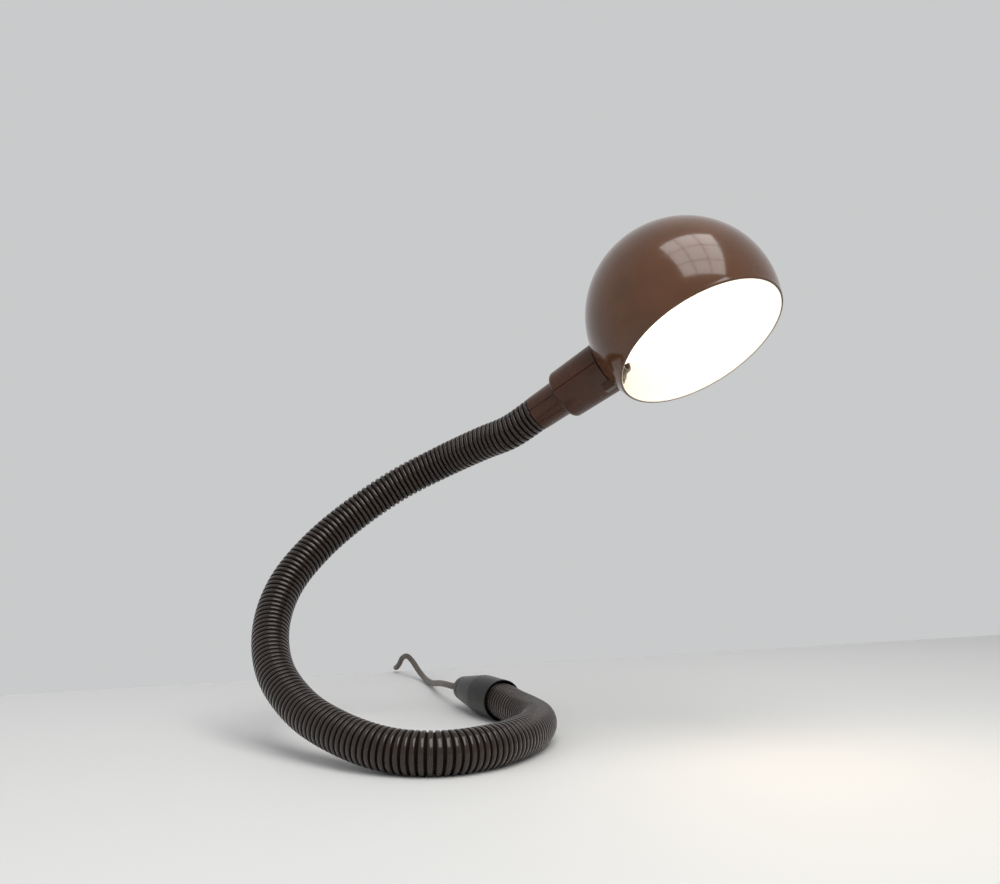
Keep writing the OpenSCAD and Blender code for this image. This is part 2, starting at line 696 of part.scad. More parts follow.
// Upright block with rounded corners, from the lead's end of the switch, drawn in by inset
module switch_block(inset, z0, z1) {
    r = end_round - inset;
    x = [end_round, switch_len - end_round];
    y = switch_w / 2 - end_round;
    corners = [[x[1], y, 0], [x[0], y, 90], [x[0], -y, 180], [x[1], -y, 270]];
    translate([0, 0, z0]) linear_extrude(z1 - z0) polygon([for (c = corners, k = [0:6])
        [c[0] + r * cos(c[2] + 15 * k), c[1] + r * sin(c[2] + 15 * k)]]);
}

module lead_passage() {
    translate([-1, 0, cord_line_z]) rotate([0, 90, 0])
        cylinder(r = cord_r + fit_gap, h = switch_len + 2);
}

module screw_places() {
    for (p = [[switch_screw_x, switch_screw_y], [switch_len - switch_screw_x, -switch_screw_y]])
        translate([p[0], p[1], 0]) children();
}

module switch_lower() {
    color("#2a2522") switch_frame() difference() {
        union() {
            difference() {
                switch_block(0, 0, switch_parting - fit_gap / 2);
                switch_block(shell_wall, shell_wall, switch_h);
            }
            screw_places() cylinder(r = 3, h = switch_parting - fit_gap / 2);
        }
        lead_passage();
        screw_places() translate([0, 0, -1]) cylinder(d = 2.6, h = switch_h);
        screw_places() translate([0, 0, -1]) cylinder(d = 5, h = 2.6);
    }
}

module switch_upper() {
    color("#2a2522") switch_frame() difference() {
        union() {
            difference() {
                switch_block(0, switch_parting + fit_gap / 2, switch_h);
                switch_block(shell_wall, 0, switch_h - shell_wall);
            }
            screw_places() translate([0, 0, switch_parting + fit_gap / 2])
                cylinder(r = 3, h = switch_h - switch_parting - 1);
            for (y = [-1, 1]) translate([switch_mid - 3, y * (rocker_w / 2 + 1.6) - 1, rocker_z - 2.5])
                cube([6, 2, switch_h - rocker_z + 1.5]);
        }
        lead_passage();
        screw_places() cylinder(d = 2.2, h = switch_h - 2);
        translate([switch_mid - rocker_l / 2 - slide_gap, -rocker_w / 2 - slide_gap, switch_parting])
            cube([rocker_l + 2 * slide_gap, rocker_w + 2 * slide_gap, switch_h]);
        translate([switch_mid, 0, rocker_z]) rotate([90, 0, 0])
            cylinder(r = rocker_pin_r + 0.08, h = rocker_w + 8, center = true);
    }
}

module switch_rocker() {
    color("#e8e2d6") switch_frame() translate([switch_mid, 0, rocker_z]) {
        rotate([90, 0, 0]) cylinder(r = rocker_pin_r, h = rocker_w + 3.6, center = true);
        rotate([90, 0, 0]) linear_extrude(rocker_w, center = true) polygon([
            [-rocker_l / 2 + 1, -1.2], [rocker_l / 2 - 1, -1.2], [rocker_l / 2 - 0.6, 2.6],
            [rocker_l / 4, 3.4], [0, 2.8], [-rocker_l / 4, 3.4], [-rocker_l / 2 + 0.6, 2.6]]);
    }
}

module switch_contacts() {
    color("#c9a24d") switch_frame() for (s = [-1, 1])
        translate([switch_mid + s * 9 - 4, 0, shell_wall + fit_gap]) {
            translate([0, s * 5.5 - 2, 0]) cube([8, 4, 1]);
            translate([s > 0 ? 0 : 7, s * 5.5 - 2, 0]) cube([1, 4, 5]);
        }
}

module switch_screws() {
    color("#a8a8a6") switch_frame() screw_places() {
        translate([0, 0, 0.4]) cylinder(d = 4.6, h = 1.1);
        translate([0, 0, 1.5]) cylinder(d = 2, h = switch_h - 5);
    }
}

// ---- plug ----
// Local frame: z along the plug from the lead to the pins, x up
coil_out_azimuth = coil_last - 90;
module plug_frame() translate(plug_seat) rotate([0, 90, coil_out_azimuth]) children();

plug_w = pin_spacing + 16.7;
plug_h = 13.7;
relief_r = cord_r + 1.2;
plug_back_w = 13;
plug_shoulder = relief_len + 10;
pin_root_r = pin_d / 2 - 0.5;
pin_root_len = 10;
pin_tip = 1;
module plug_body() {
    color("#2a2522") plug_frame() difference() {
        union() {
            cylinder(r1 = relief_r, r2 = plug_back_w / 2 - 0.5, h = relief_len + 1);
            rotate([0, -90, 0]) linear_extrude(plug_h, center = true) polygon([
                [relief_len, -plug_back_w / 2], [relief_len, plug_back_w / 2],
                [plug_shoulder, plug_w / 2], [plug_len, plug_w / 2],
                [plug_len, -plug_w / 2], [plug_shoulder, -plug_w / 2]]);
        }
        for (y = [-1, 1]) translate([0, y * pin_spacing / 2, plug_len - pin_root_len])
            cylinder(r = pin_root_r + fit_gap / 2, h = pin_root_len + 1);
    }
}

module plug_pins() {
    color("#c8c8c8") plug_frame() for (y = [-1, 1]) translate([0, y * pin_spacing / 2, plug_len]) {
        translate([0, 0, fit_gap - pin_root_len]) cylinder(r = pin_root_r, h = pin_root_len);
        translate([0, 0, fit_gap]) cylinder(r = pin_d / 2, h = pin_len - pin_tip - fit_gap);
        translate([0, 0, pin_len - pin_tip]) cylinder(r1 = pin_d / 2, r2 = pin_d / 2 - 0.8, h = pin_tip);
    }
}

// Places that other parts need
echo(neck_len = neck_len, ribs = round(neck_len / rib_pitch));
echo(pivot_places = [for (s = pivots) at(neck_table, s)]);
echo(pivot_headings = [for (s = pivots) heading(neck_table, s)]);
echo(shade_centre = head_seat + shade_at * neck_dir, neck_dir = neck_dir);
echo(plug_seat = plug_seat, plug_dir = coil_out_dir, coil_centre = coil_centre);

sheath(0);  // sheath_base
sheath(1);  // sheath_1
sheath(2);  // sheath_2
sheath(3);  // sheath_3
sheath(4);  // sheath_4
sheath(5);  // sheath_head
bellows(0);  // bellows_1
bellows(1);  // bellows_2
bellows(2);  // bellows_3
bellows(3);  // bellows_4
bellows(4);  // bellows_5
spine(0);  // spine_base
spine(1);  // spine_1
spine(2);  // spine_2
spine(3);  // spine_3
spine(4);  // spine_4
spine(5);  // spine_head
lead(0);  // lead_base
lead(1);  // lead_1
lead(2);  // lead_2
lead(3);  // lead_3
lead(4);  // lead_4
lead(5);  // lead_head
end_cap();
end_cap_screw();
bottom_ferrule();
cord_grip();
top_ferrule();
nipple();
locknut();
housing_upper();
housing_lower();
housing_screws();
lampholder();
lampholder_shell();
centre_contact();
terminal_screws();
shade_ring();
bulb_glass();
bulb_cap();
bulb_contact();
bulb_stem();
bulb_filament();
shade();
cord_run();
cord_coil();
cord_tie();
switch_lower();
switch_upper();
switch_rocker();
switch_contacts();
switch_screws();
plug_body();
plug_pins();
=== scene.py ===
"""Gooseneck desk lamp with a ball shade: its finished pieces, finishes and stage."""

import math

import bpy
from bpy.props import FloatProperty, FloatVectorProperty, IntProperty, PointerProperty
from mathutils import Matrix, Vector


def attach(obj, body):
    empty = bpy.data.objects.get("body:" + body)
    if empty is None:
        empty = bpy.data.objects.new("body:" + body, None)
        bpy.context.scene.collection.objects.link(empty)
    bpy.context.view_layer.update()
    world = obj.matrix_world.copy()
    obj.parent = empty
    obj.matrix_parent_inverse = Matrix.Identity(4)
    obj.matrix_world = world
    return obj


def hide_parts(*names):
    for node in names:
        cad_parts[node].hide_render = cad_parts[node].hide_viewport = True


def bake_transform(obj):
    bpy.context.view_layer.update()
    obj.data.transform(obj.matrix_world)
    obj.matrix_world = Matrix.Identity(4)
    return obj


bl_info = {
    "name": "Gooseneck desk lamp",
    "version": (1, 0, 0),
    "blender": (4, 5, 0),
    "location": "3D View > Sidebar > Lamp",
    "description": "Builds the pieces, finishes and stage of a gooseneck desk lamp",
    "category": "Object",
}

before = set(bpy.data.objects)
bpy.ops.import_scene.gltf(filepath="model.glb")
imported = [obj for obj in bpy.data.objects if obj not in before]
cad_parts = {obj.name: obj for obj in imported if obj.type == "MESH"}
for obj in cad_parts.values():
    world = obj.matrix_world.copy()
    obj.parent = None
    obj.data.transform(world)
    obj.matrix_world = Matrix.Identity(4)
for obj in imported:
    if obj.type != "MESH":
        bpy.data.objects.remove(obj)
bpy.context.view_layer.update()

# ---------------------------------------------------------------------------
# Places shared by the pieces, in metres, as in the part's source
# ---------------------------------------------------------------------------
def direction(azimuth, elevation=0):
    """Unit vector along azimuth and elevation, in degrees."""
    a, e = math.radians(azimuth), math.radians(elevation)
    return Vector((math.cos(e) * math.cos(a), math.cos(e) * math.sin(a), math.sin(e)))


# Camera: its place, and how far it looks up over a length of 1
CAMERA_AT = (-0.009, -0.740, 0.140)
CAMERA_RISE = 0.1

# End cap: its mouth, which way it lies, and how far the neck goes in
CAP_MOUTH = Vector((-0.007, 0.062, 0.0160123))
CAP_AZIMUTH = 116
CAP_DIR = direction(CAP_AZIMUTH)
CAP_LEN = 0.076
CAP_INSERT = 0.026
FERRULE_TO = 0.058
FERRULE_R = 0.0099

# Socket housing: where it takes the neck, and the neck's straight end below it
HEAD_SEAT = Vector((0.020, 0.027, 0.239))
NECK_ELEVATION = 28
NECK_AZIMUTH = -31
NECK_DIR = direction(NECK_AZIMUTH, NECK_ELEVATION)
NECK_STRAIGHT = 0.028

# Neck: x, y and the rise above the resting hook's centre line, in millimetres
REST_Z = 0.013
NECK_POINTS = [
    (4, 38, 1), (13, 16, 0), (18, -10, 0), (14, -41, 0), (2, -74, 0), (-18, -103, 0),
    (-46, -120, 0), (-77, -115, 1), (-110, -94, 7), (-141, -64, 18), (-166, -30, 38),
    (-177, 4, 65), (-173, 32, 94), (-155, 54, 122), (-128, 69, 148), (-93, 76, 173),
    (-56, 72, 192), (-24, 55, 205),
]
# Lengths along the neck of its stand-in hinges, and how far it bends to each side of one
PIVOTS = [0.345, 0.420, 0.500, 0.578, 0.656]
BEND_REACH = 0.026
RIBS = 174

# Shade: its centre above the housing's seat, and its mouth's turns and offset from there
SHADE_AT = 0.135
MOUTH_TILT = 5.6
MOUTH_ROLL = -8.5
MOUTH_OFFSET = 0.0276

# Mains lead: x, y and height of its run to the switch, in millimetres
CORD_D = 0.0055
GRIP_PROUD = 0.0016
CORD_EXIT = CAP_MOUTH + (CAP_LEN + GRIP_PROUD) * CAP_DIR
CORD_POINTS = [
    (-50, 149, 15), (-58, 172, 13.5), (-65, 200, 10.5), (-71, 228, 6.5), (-77, 254, 4),
    (-85, 284, 4), (-93, 304, 9.5), (-100, 318, 16.5), (-107, 330, 20.5), (-113, 341, 17),
    (-117, 351, 10), (-121, 362, 5), (-125, 376, 3.5), (-130, 392, 5),
]

# Inline switch
SWITCH_FROM = Vector((-0.140, 0.418, 0))
SWITCH_AZIMUTH = 107
SWITCH_DIR = direction(SWITCH_AZIMUTH)
SWITCH_LEN = 0.062
SWITCH_W = 0.024
SWITCH_H = 0.016

# Stored coil in two layers, the lead's runs to and from it, its lift, and the plug's height
COIL_R = 0.0427
COIL_TURNS = 6.4
COIL_STEP = CORD_D + 0.0006
COIL_LEAD_IN = 0.038
COIL_LEAD_OUT = 0.032
COIL_CENTRE = (SWITCH_FROM + (SWITCH_LEN + COIL_LEAD_IN) * SWITCH_DIR
               + COIL_R * Vector((SWITCH_DIR.y, -SWITCH_DIR.x, 0)))
# Turns over which it climbs to the second layer, and points of its path in a turn
COIL_CLIMB = 0.5
COIL_STEPS = 24
LIFT = 0.001
PLUG_Z = 0.007


def curve_at(points, i, t):
    """A point of the smooth curve through all the points, between points i and i + 1."""
    b, c = points[i], points[i + 1]
    a = points[i - 1] if i > 0 else 2 * b - c
    d = points[i + 2] if i + 2 < len(points) else 2 * c - b
    return 0.5 * (
        2 * b + (c - a) * t + (2 * a - 5 * b + 4 * c - d) * t * t
        + (3 * b - a - 3 * c + d) * t * t * t
    )


def curve_through(points, steps):
    """The smooth curve through the points, in short straight steps."""
    path = [curve_at(points, i, k / steps) for i in range(len(points) - 1) for k in range(steps)]
    return path + [points[-1].copy()]


def run_lengths(path):
    """The length of the path up to each of its points."""
    out = [0.0]
    for a, b in zip(path, path[1:]):
        out.append(out[-1] + (b - a).length)
    return out


def in_metres(points, rise=0.0):
    """Points in metres from points in millimetres, lifted by rise."""
    return [Vector((x / 1000, y / 1000, z / 1000 + rise)) for x, y, z in points]


NECK_PATH = curve_through(
    [CAP_MOUTH + CAP_INSERT * CAP_DIR, CAP_MOUTH] + in_metres(NECK_POINTS, REST_Z)
    + [HEAD_SEAT - NECK_STRAIGHT * NECK_DIR, HEAD_SEAT], steps=10)
NECK_LENGTHS = run_lengths(NECK_PATH)
NECK_LEN = NECK_LENGTHS[-1]


def along_neck(s):
    """The point of the neck at length s, which is less than its whole length."""
    i = next(i for i, length_to in enumerate(NECK_LENGTHS) if s <= length_to) - 1
    share = (s - NECK_LENGTHS[i]) / (NECK_LENGTHS[i + 1] - NECK_LENGTHS[i])
    return NECK_PATH[i].lerp(NECK_PATH[i + 1], share)


def turned(place, azimuth, elevation):
    """Frame at a place whose z axis points along azimuth and elevation, in degrees."""
    return (
        Matrix.Translation(place)
        @ Matrix.Rotation(math.radians(azimuth), 4, "Z")
        @ Matrix.Rotation(math.radians(90 - elevation), 4, "Y")
    )


# Turns a piece drawn along z to lie along x
LYING = Matrix.Rotation(math.radians(90), 4, "Y")
CAP_FRAME = turned(CAP_MOUTH, CAP_AZIMUTH, 0)
NECK_FRAME = turned(HEAD_SEAT, NECK_AZIMUTH, NECK_ELEVATION)
MOUTH_FRAME = (
    NECK_FRAME
    @ Matrix.Translation((0, 0, SHADE_AT))
    @ Matrix.Rotation(math.radians(MOUTH_ROLL), 4, "Z")
    @ Matrix.Rotation(math.radians(90 - MOUTH_TILT), 4, "Y")
)
SWITCH_FRAME = Matrix.Translation(SWITCH_FROM) @ Matrix.Rotation(
    math.radians(SWITCH_AZIMUTH), 4, "Z")


# ---------------------------------------------------------------------------
# Sizes and colours that a user would change
# ---------------------------------------------------------------------------
def length(name, description, default, **limits):
    return FloatProperty(
        name=name, description=description, default=default, unit="LENGTH", precision=4, **limits)


def colour(name, description, default):
    return FloatVectorProperty(
        name=name, description=description, default=default, subtype="COLOR", min=0, max=1)


class LampSizes(bpy.types.PropertyGroup):
    """Sizes of the lamp's visible pieces"""

    sheath_r: length("Sheath radius", "Radius over the neck's crests", 0.0135)
    rib_depth: length("Rib depth", "Depth of the grooves of the neck", 0.0013)
    sheath_sides: IntProperty(
        name="Sheath sides", description="Faces round one rib of the neck", default=40, min=16)
    cap_r: length("Cap radius", "Radius of the end cap at its mouth", 0.0160123)
    cap_tip_r: length("Cap tip radius", "Radius of the end cap's narrow end", 0.010)
    boss_r: length("Boss radius", "Radius of the housing's boss at its shoulder", 0.0195)
    shade_r: length("Shade radius", "Outside radius of the ball shade", 0.070)
    shade_wall: length("Shade wall", "Thickness of the shade's sheet metal", 0.0012)
    bulb_r: length("Bulb radius", "Radius of the bulb's glass ball", 0.0225)
    plug_len: length("Plug length", "Length of the plug with its lead relief", 0.050)


class LampColours(bpy.types.PropertyGroup):
    """Colours of the lamp's finishes"""

    sheath: colour("Sheath", "Brown-black plastic of the neck", (0.016, 0.0078, 0.0048))
    dust: colour("Dust", "Dust that lies in the grooves", (0.060, 0.050, 0.043))
    cap: colour("End cap", "Grey-black plastic of the end cap", (0.011, 0.0105, 0.0098))
    housing: colour("Housing", "Dark brown plastic of the socket housing", (0.052, 0.018, 0.0085))
    lacquer: colour("Lacquer", "Brown lacquer outside the shade", (0.080, 0.028, 0.008))
    enamel: colour("Enamel", "White enamel inside the shade", (0.78, 0.75, 0.69))
    glow: colour("Glow", "Light of the bulb", (1.0, 0.80, 0.52))
    cord: colour("Lead", "Grey-brown sheath of the mains lead", (0.072, 0.056, 0.045))
    fittings: colour("Fittings", "Dark plastic of the switch and plug", (0.030, 0.024, 0.021))
    rocker: colour("Rocker", "Cream plastic of the switch's rocker", (0.60, 0.54, 0.44))
    floor: colour("Floor", "Plain pale floor", (0.80, 0.80, 0.79))
    backdrop: colour("Backdrop", "Plain pale wall behind the lamp", (0.585, 0.59, 0.595))


# ---------------------------------------------------------------------------
# Shader nodes written as expressions
# ---------------------------------------------------------------------------
class Value:
    """A shader socket; Python's operators on it add Math nodes."""

    def __init__(self, nodes, socket):
        self.nodes = nodes
        self.socket = socket

    def maths(self, operation, *terms):
        return self.nodes.node("ShaderNodeMath", dict(enumerate(terms)), operation=operation)

    def __add__(self, other):
        return self.maths("ADD", self, other)

    def __radd__(self, other):
        return self.maths("ADD", other, self)

    def __rsub__(self, other):
        return self.maths("SUBTRACT", other, self)

    def __mul__(self, other):
        return self.maths("MULTIPLY", self, other)

    def __rmul__(self, other):
        return self.maths("MULTIPLY", other, self)

    def most(self, other):
        """The greater of the two."""
        return self.maths("MAXIMUM", self, other)

    def clamp(self):
        return self.nodes.node("ShaderNodeClamp", {"Value": self})

    def over(self, low, high):
        """0 below low, 1 above high, smooth between."""
        return self.nodes.node(
            "ShaderNodeMapRange", {"Value": self, "From Min": low, "From Max": high},
            interpolation_type="SMOOTHSTEP")


class Nodes:
    """A node tree, with one way to add nodes of every kind."""

    def __init__(self, tree):
        self.tree = tree

    def node(self, kind, inputs=None, output=0, **settings):
        """Adds a node with its settings, and with values or links for its sockets."""
        made = self.tree.nodes.new(kind)
        for name, value in settings.items():
            setattr(made, name, value)
        for name, value in (inputs or {}).items():
            self.feed(made.inputs[name], value)
        return Value(self, made.outputs[output])

    def feed(self, socket, value):
        """Gives a socket a link, or a value of its own."""
        if isinstance(value, Value):
            self.tree.links.new(value.socket, socket)
        elif isinstance(value, (tuple, list)) and len(value) == 3 and socket.type == "RGBA":
            socket.default_value = (*value, 1)
        else:
            socket.default_value = value

    def result(self, shader):
        """Makes a shader what the tree gives out."""
        out = next(n for n in self.tree.nodes if n.type.startswith("OUTPUT"))
        self.feed(out.inputs["Surface"], shader)


class Finish(Nodes):
    """A material and the nodes of its procedural finish."""

    def __init__(self, name):
        self.material = bpy.data.materials.new(name)
        self.material.use_nodes = True
        super().__init__(self.material.node_tree)
        self.shader = self.tree.nodes["Principled BSDF"]

    def place(self):
        """The point's place on the piece."""
        return self.node("ShaderNodeTexCoord", output="Object")

    def attribute(self, name, output="Fac"):
        return self.node("ShaderNodeAttribute", output=output, attribute_name=name)

    def noise(self, scale, detail=3.0, rough=0.5, where=None, stretch=None):
        """Soft noise; scale is in features per metre."""
        vector = where or self.place()
        if stretch:
            vector = self.node("ShaderNodeMapping", {"Vector": vector, "Scale": stretch})
        return self.node(
            "ShaderNodeTexNoise",
            {"Vector": vector, "Scale": scale, "Detail": detail, "Roughness": rough}, "Fac")

    def cells(self, scale):
        """Distance to the nearest of many scattered points."""
        return self.node(
            "ShaderNodeTexVoronoi", {"Vector": self.place(), "Scale": scale}, "Distance")

    def mix(self, share, first, second):
        """First colour at share 0, second at share 1."""
        return self.node(
            "ShaderNodeMix", {0: share, 6: first, 7: second}, 2, data_type="RGBA")

    def tones(self, share, rgb, factor, base=None):
        """The base, or else rgb itself, that goes over to rgb times factor."""
        return self.mix(share, base or tuple(rgb), tuple(min(1.0, c * factor) for c in rgb))

    def bump(self, height, depth, strength=1.0):
        """Relief of the given depth in metres."""
        return self.node(
            "ShaderNodeBump", {"Height": height, "Distance": depth, "Strength": strength})

    def set(self, **inputs):
        """Feeds the shader and gives the material; an underscore stands for a space."""
        for name, value in inputs.items():
            self.feed(self.shader.inputs[name.replace("_", " ")], value)
        return self.material


def neck_plastic(colours):
    """Satin ribbed plastic, glossy on its crests, with painted shade darkening its grooves and
    some dust lying in them.
    """
    f = Finish("neck_plastic")
    groove = f.attribute("groove")
    base = f.tones(f.noise(55, 3).over(0.3, 0.75), colours.sheath, 1.5)
    # Painted shade: the grooves are darkened to 0.12 of the sheath's colour
    deep = f.tones(groove.over(0.15, 0.85) * 0.95, colours.sheath, 0.12, base)
    dusty = (groove * f.noise(160, 3).over(0.45, 0.8)).clamp() * 0.12
    return f.set(
        Base_Color=f.mix(dusty, deep, tuple(colours.dust)),
        Roughness=(0.22 + 0.10 * f.noise(240, 4) + 0.45 * groove).clamp(),
        Normal=f.bump(f.noise(1400, 2), 0.00006, 0.4),
        Specular_IOR_Level=0.10,
        Coat_Weight=(0.8 - 0.8 * groove.over(0.05, 0.6)).clamp(),
        Coat_Roughness=0.14,
    )


def cap_plastic(colours):
    """Dull grey-black plastic with fine turning lines and scuffs."""
    f = Finish("cap_plastic")
    scuff = f.noise(420, 4, 0.65).over(0.55, 0.72)
    lines = f.noise(900, 2, where=f.attribute("along", "Vector"), stretch=(1, 0.02, 0.02))
    base = f.tones(f.noise(45, 3).over(0.3, 0.8), colours.cap, 1.4)
    return f.set(
        Base_Color=f.tones(scuff * 0.2, colours.cap, 2.5, base),
        Roughness=(0.20 + 0.12 * f.noise(300, 3) + 0.12 * scuff).clamp(),
        Normal=f.bump(lines * 0.6 + f.noise(1500, 2) * 0.4, 0.00008, 0.5),
        Specular_IOR_Level=0.14,
    )


def housing_plastic(colours):
    """Glossy moulded brown plastic with light handling marks."""
    f = Finish("housing_plastic")
    smear = f.noise(70, 4, 0.6)
    fleck = 1 - f.cells(230).over(0.02, 0.10)
    base = f.tones(smear.over(0.35, 0.8), colours.housing, 1.35)
    return f.set(
        Base_Color=f.tones(fleck * 0.25, colours.housing, 4.0, base),
        Roughness=(0.20 + 0.12 * smear + 0.2 * fleck).clamp(),
        Normal=f.bump(f.noise(700, 3), 0.00005, 0.4),
        Specular_IOR_Level=0.34,
    )


def shade_lacquer(colours):
    """Deep glossy brown lacquer with faint swirl marks and dust."""
    f = Finish("shade_lacquer")
    smear = f.noise(60, 5, 0.6)
    fleck = (1 - f.cells(150).over(0.015, 0.07)) * f.noise(30, 2).over(0.45, 0.6)
    base = f.tones(f.noise(22, 3).over(0.3, 0.75), colours.lacquer, 1.35)
    return f.set(
        Base_Color=f.tones(fleck * 0.3, colours.lacquer, 5.0, base),
        Roughness=(0.15 + 0.12 * smear.over(0.45, 0.8) + 0.25 * fleck).clamp(),
        Normal=f.bump(f.noise(260, 2), 0.00006, 0.35),
        Specular_IOR_Level=0.34,
        Coat_Weight=0.55,
        Coat_Roughness=0.08,
    )


def shade_enamel(colours):
    """White enamel inside the shade, with a painted warm glow standing in for the bulb's light on
    it.
    """
    f = Finish("shade_enamel")
    cloud = f.noise(40, 3)
    return f.set(
        Base_Color=f.tones(cloud, colours.enamel, 0.93),
        Roughness=(0.38 + 0.12 * cloud).clamp(),
        # Painted glow: the enamel emits warm light of its own, in place of the bulb's light
        # falling on it
        Emission_Color=f.mix(cloud * 0.5, (1.0, 0.93, 0.82), (1.0, 0.90, 0.75)),
        Emission_Strength=0.30,
        Normal=f.bump(f.noise(300, 2), 0.00005, 0.3),
    )


def bulb_pearl(colours):
    """Pearl glass, glowing."""
    f = Finish("bulb_pearl")
    haze = f.noise(80, 2)
    return f.set(
        Base_Color=f.mix(haze, (0.95, 0.93, 0.88), (0.90, 0.86, 0.78)),
        Roughness=(0.22 + 0.1 * haze).clamp(),
        Emission_Color=f.mix(haze * 0.4, (1.0, 0.92, 0.76), tuple(colours.glow)),
        Emission_Strength=1.3,
    )


def clear_glass():
    """Clear glass of the bulb's stem."""
    f = Finish("clear_glass")
    return f.set(
        Base_Color=f.mix(f.noise(120, 2), (0.93, 0.96, 0.95), (0.86, 0.90, 0.90)),
        Roughness=0.04,
        Transmission_Weight=0.9,
        IOR=1.5,
    )


def glowing_wire():
    """Filament wire at work."""
    f = Finish("glowing_wire")
    return f.set(
        Base_Color=f.mix(f.noise(500, 2), (0.9, 0.6, 0.3), (1.0, 0.8, 0.5)),
        Roughness=0.5,
        Metallic=1.0,
        Emission_Color=f.mix(f.noise(300, 2), (1.0, 0.75, 0.4), (1.0, 0.65, 0.3)),
        Emission_Strength=8.0,
    )


def lead_rubber(colours):
    """Dull grey-brown sheath of a mains lead, slightly grimy."""
    f = Finish("lead_rubber")
    grime = f.noise(90, 4, 0.6)
    base = f.tones(grime.over(0.35, 0.7), colours.cord, 1.45)
    return f.set(
        Base_Color=f.tones(f.noise(600, 3).over(0.6, 0.75) * 0.3, colours.cord, 0.5, base),
        Roughness=(0.34 + 0.2 * grime).clamp(),
        Normal=f.bump(f.noise(1600, 2), 0.00005, 0.5),
    )


def moulded(name, rgb, rough=0.34):
    """Moulded plastic with a fine spark-eroded grain."""
    f = Finish(name)
    cloud = f.noise(120, 3)
    grain = f.noise(2600, 2)
    return f.set(
        Base_Color=f.tones(cloud.over(0.3, 0.8), rgb, 1.3),
        Roughness=(rough + 0.12 * cloud + 0.06 * grain).clamp(),
        Normal=f.bump(grain, 0.00005, 0.5),
    )


def metal(name, rgb, rough):
    """Metal with a fine grain and a little tarnish."""
    f = Finish(name)
    spot = f.noise(260, 4, 0.65).over(0.5, 0.75)
    grain = f.noise(900, 3)
    return f.set(
        Base_Color=f.tones(spot * 0.25, rgb, 0.45),
        Metallic=1.0,
        Roughness=(rough + 0.15 * grain + 0.2 * spot).clamp(),
        Normal=f.bump(grain, 0.00004, 0.4),
    )


def strap_cloth():
    """Woven strap, in fine crossing threads."""
    f = Finish("strap_cloth")
    weft, warp = (
        f.node("ShaderNodeTexWave", {"Vector": f.place(), "Scale": 300.0, "Distortion": 1.0},
               "Fac", bands_direction=axis)
        for axis in "XZ")
    weave = weft * warp
    return f.set(
        Base_Color=f.mix(weave, (0.012, 0.012, 0.013), (0.045, 0.045, 0.047)),
        Roughness=(0.75 + 0.15 * weave).clamp(),
        Normal=f.bump(weave, 0.0002, 0.8),
    )


def stage_floor(colours):
    """Pale matt floor."""
    return Finish("stage_surface").set(Base_Color=tuple(colours.floor), Roughness=0.6)


def stage_wall(colours):
    """Backdrop that shines evenly towards the front and is clear from behind."""
    f = Finish("stage_backdrop")
    f.tree.nodes.remove(f.shader)
    behind = f.node("ShaderNodeNewGeometry", output="Backfacing")
    front = f.node("ShaderNodeEmission", {"Color": tuple(colours.backdrop)})
    clear = f.node("ShaderNodeBsdfTransparent")
    f.result(f.node("ShaderNodeMixShader", {0: behind, 1: front, 2: clear}))
    return f.material


# ---------------------------------------------------------------------------
# Modelling steps
# ---------------------------------------------------------------------------
def clear_selection():
    if bpy.context.object and bpy.context.object.mode != "OBJECT":
        bpy.ops.object.mode_set(mode="OBJECT")
    bpy.ops.object.select_all(action="DESELECT")


def pick(*objects):
    clear_selection()
    for o in objects:
        o.select_set(True)
    bpy.context.view_layer.objects.active = objects[0]


def edit(piece, mode="VERT"):
    pick(piece)
    bpy.ops.object.mode_set(mode="EDIT")
    bpy.ops.mesh.select_mode(type=mode)


def leave():
    bpy.ops.object.mode_set(mode="OBJECT")


def select(piece, test, kind="faces"):
    """Selects the faces, edges or vertices that pass a test, in edit mode."""
    bpy.ops.mesh.select_all(action="DESELECT")
    bpy.ops.object.mode_set(mode="OBJECT")
    for item in getattr(piece.data, {"faces": "polygons", "edges": "edges",
                                     "verts": "vertices"}[kind]):
        item.select = bool(test(item))
    bpy.ops.object.mode_set(mode="EDIT")


def mm(profile, at=0.0):
    """A profile in metres from steps in millimetres, moved up to the height at."""
    return [(r / 1000, at + z / 1000) for r, z in profile]


def arc(r, z, radius, angles):
    """Steps of a profile on an arc round (r, z), from angles in degrees above outwards."""
    return [(r + radius * math.cos(math.radians(a)), z + radius * math.sin(math.radians(a)))
            for a in angles]


def repeated(steps, first, pitch, count):
    """The same steps of a profile again and again, as a thread has them."""
    return [(r, first + pitch * k + z) for k in range(count) for r, z in steps]


# Radius of a pole while it is drawn, and how close two vertices are merged
POLE_R = 1e-5
MERGE = 1e-6


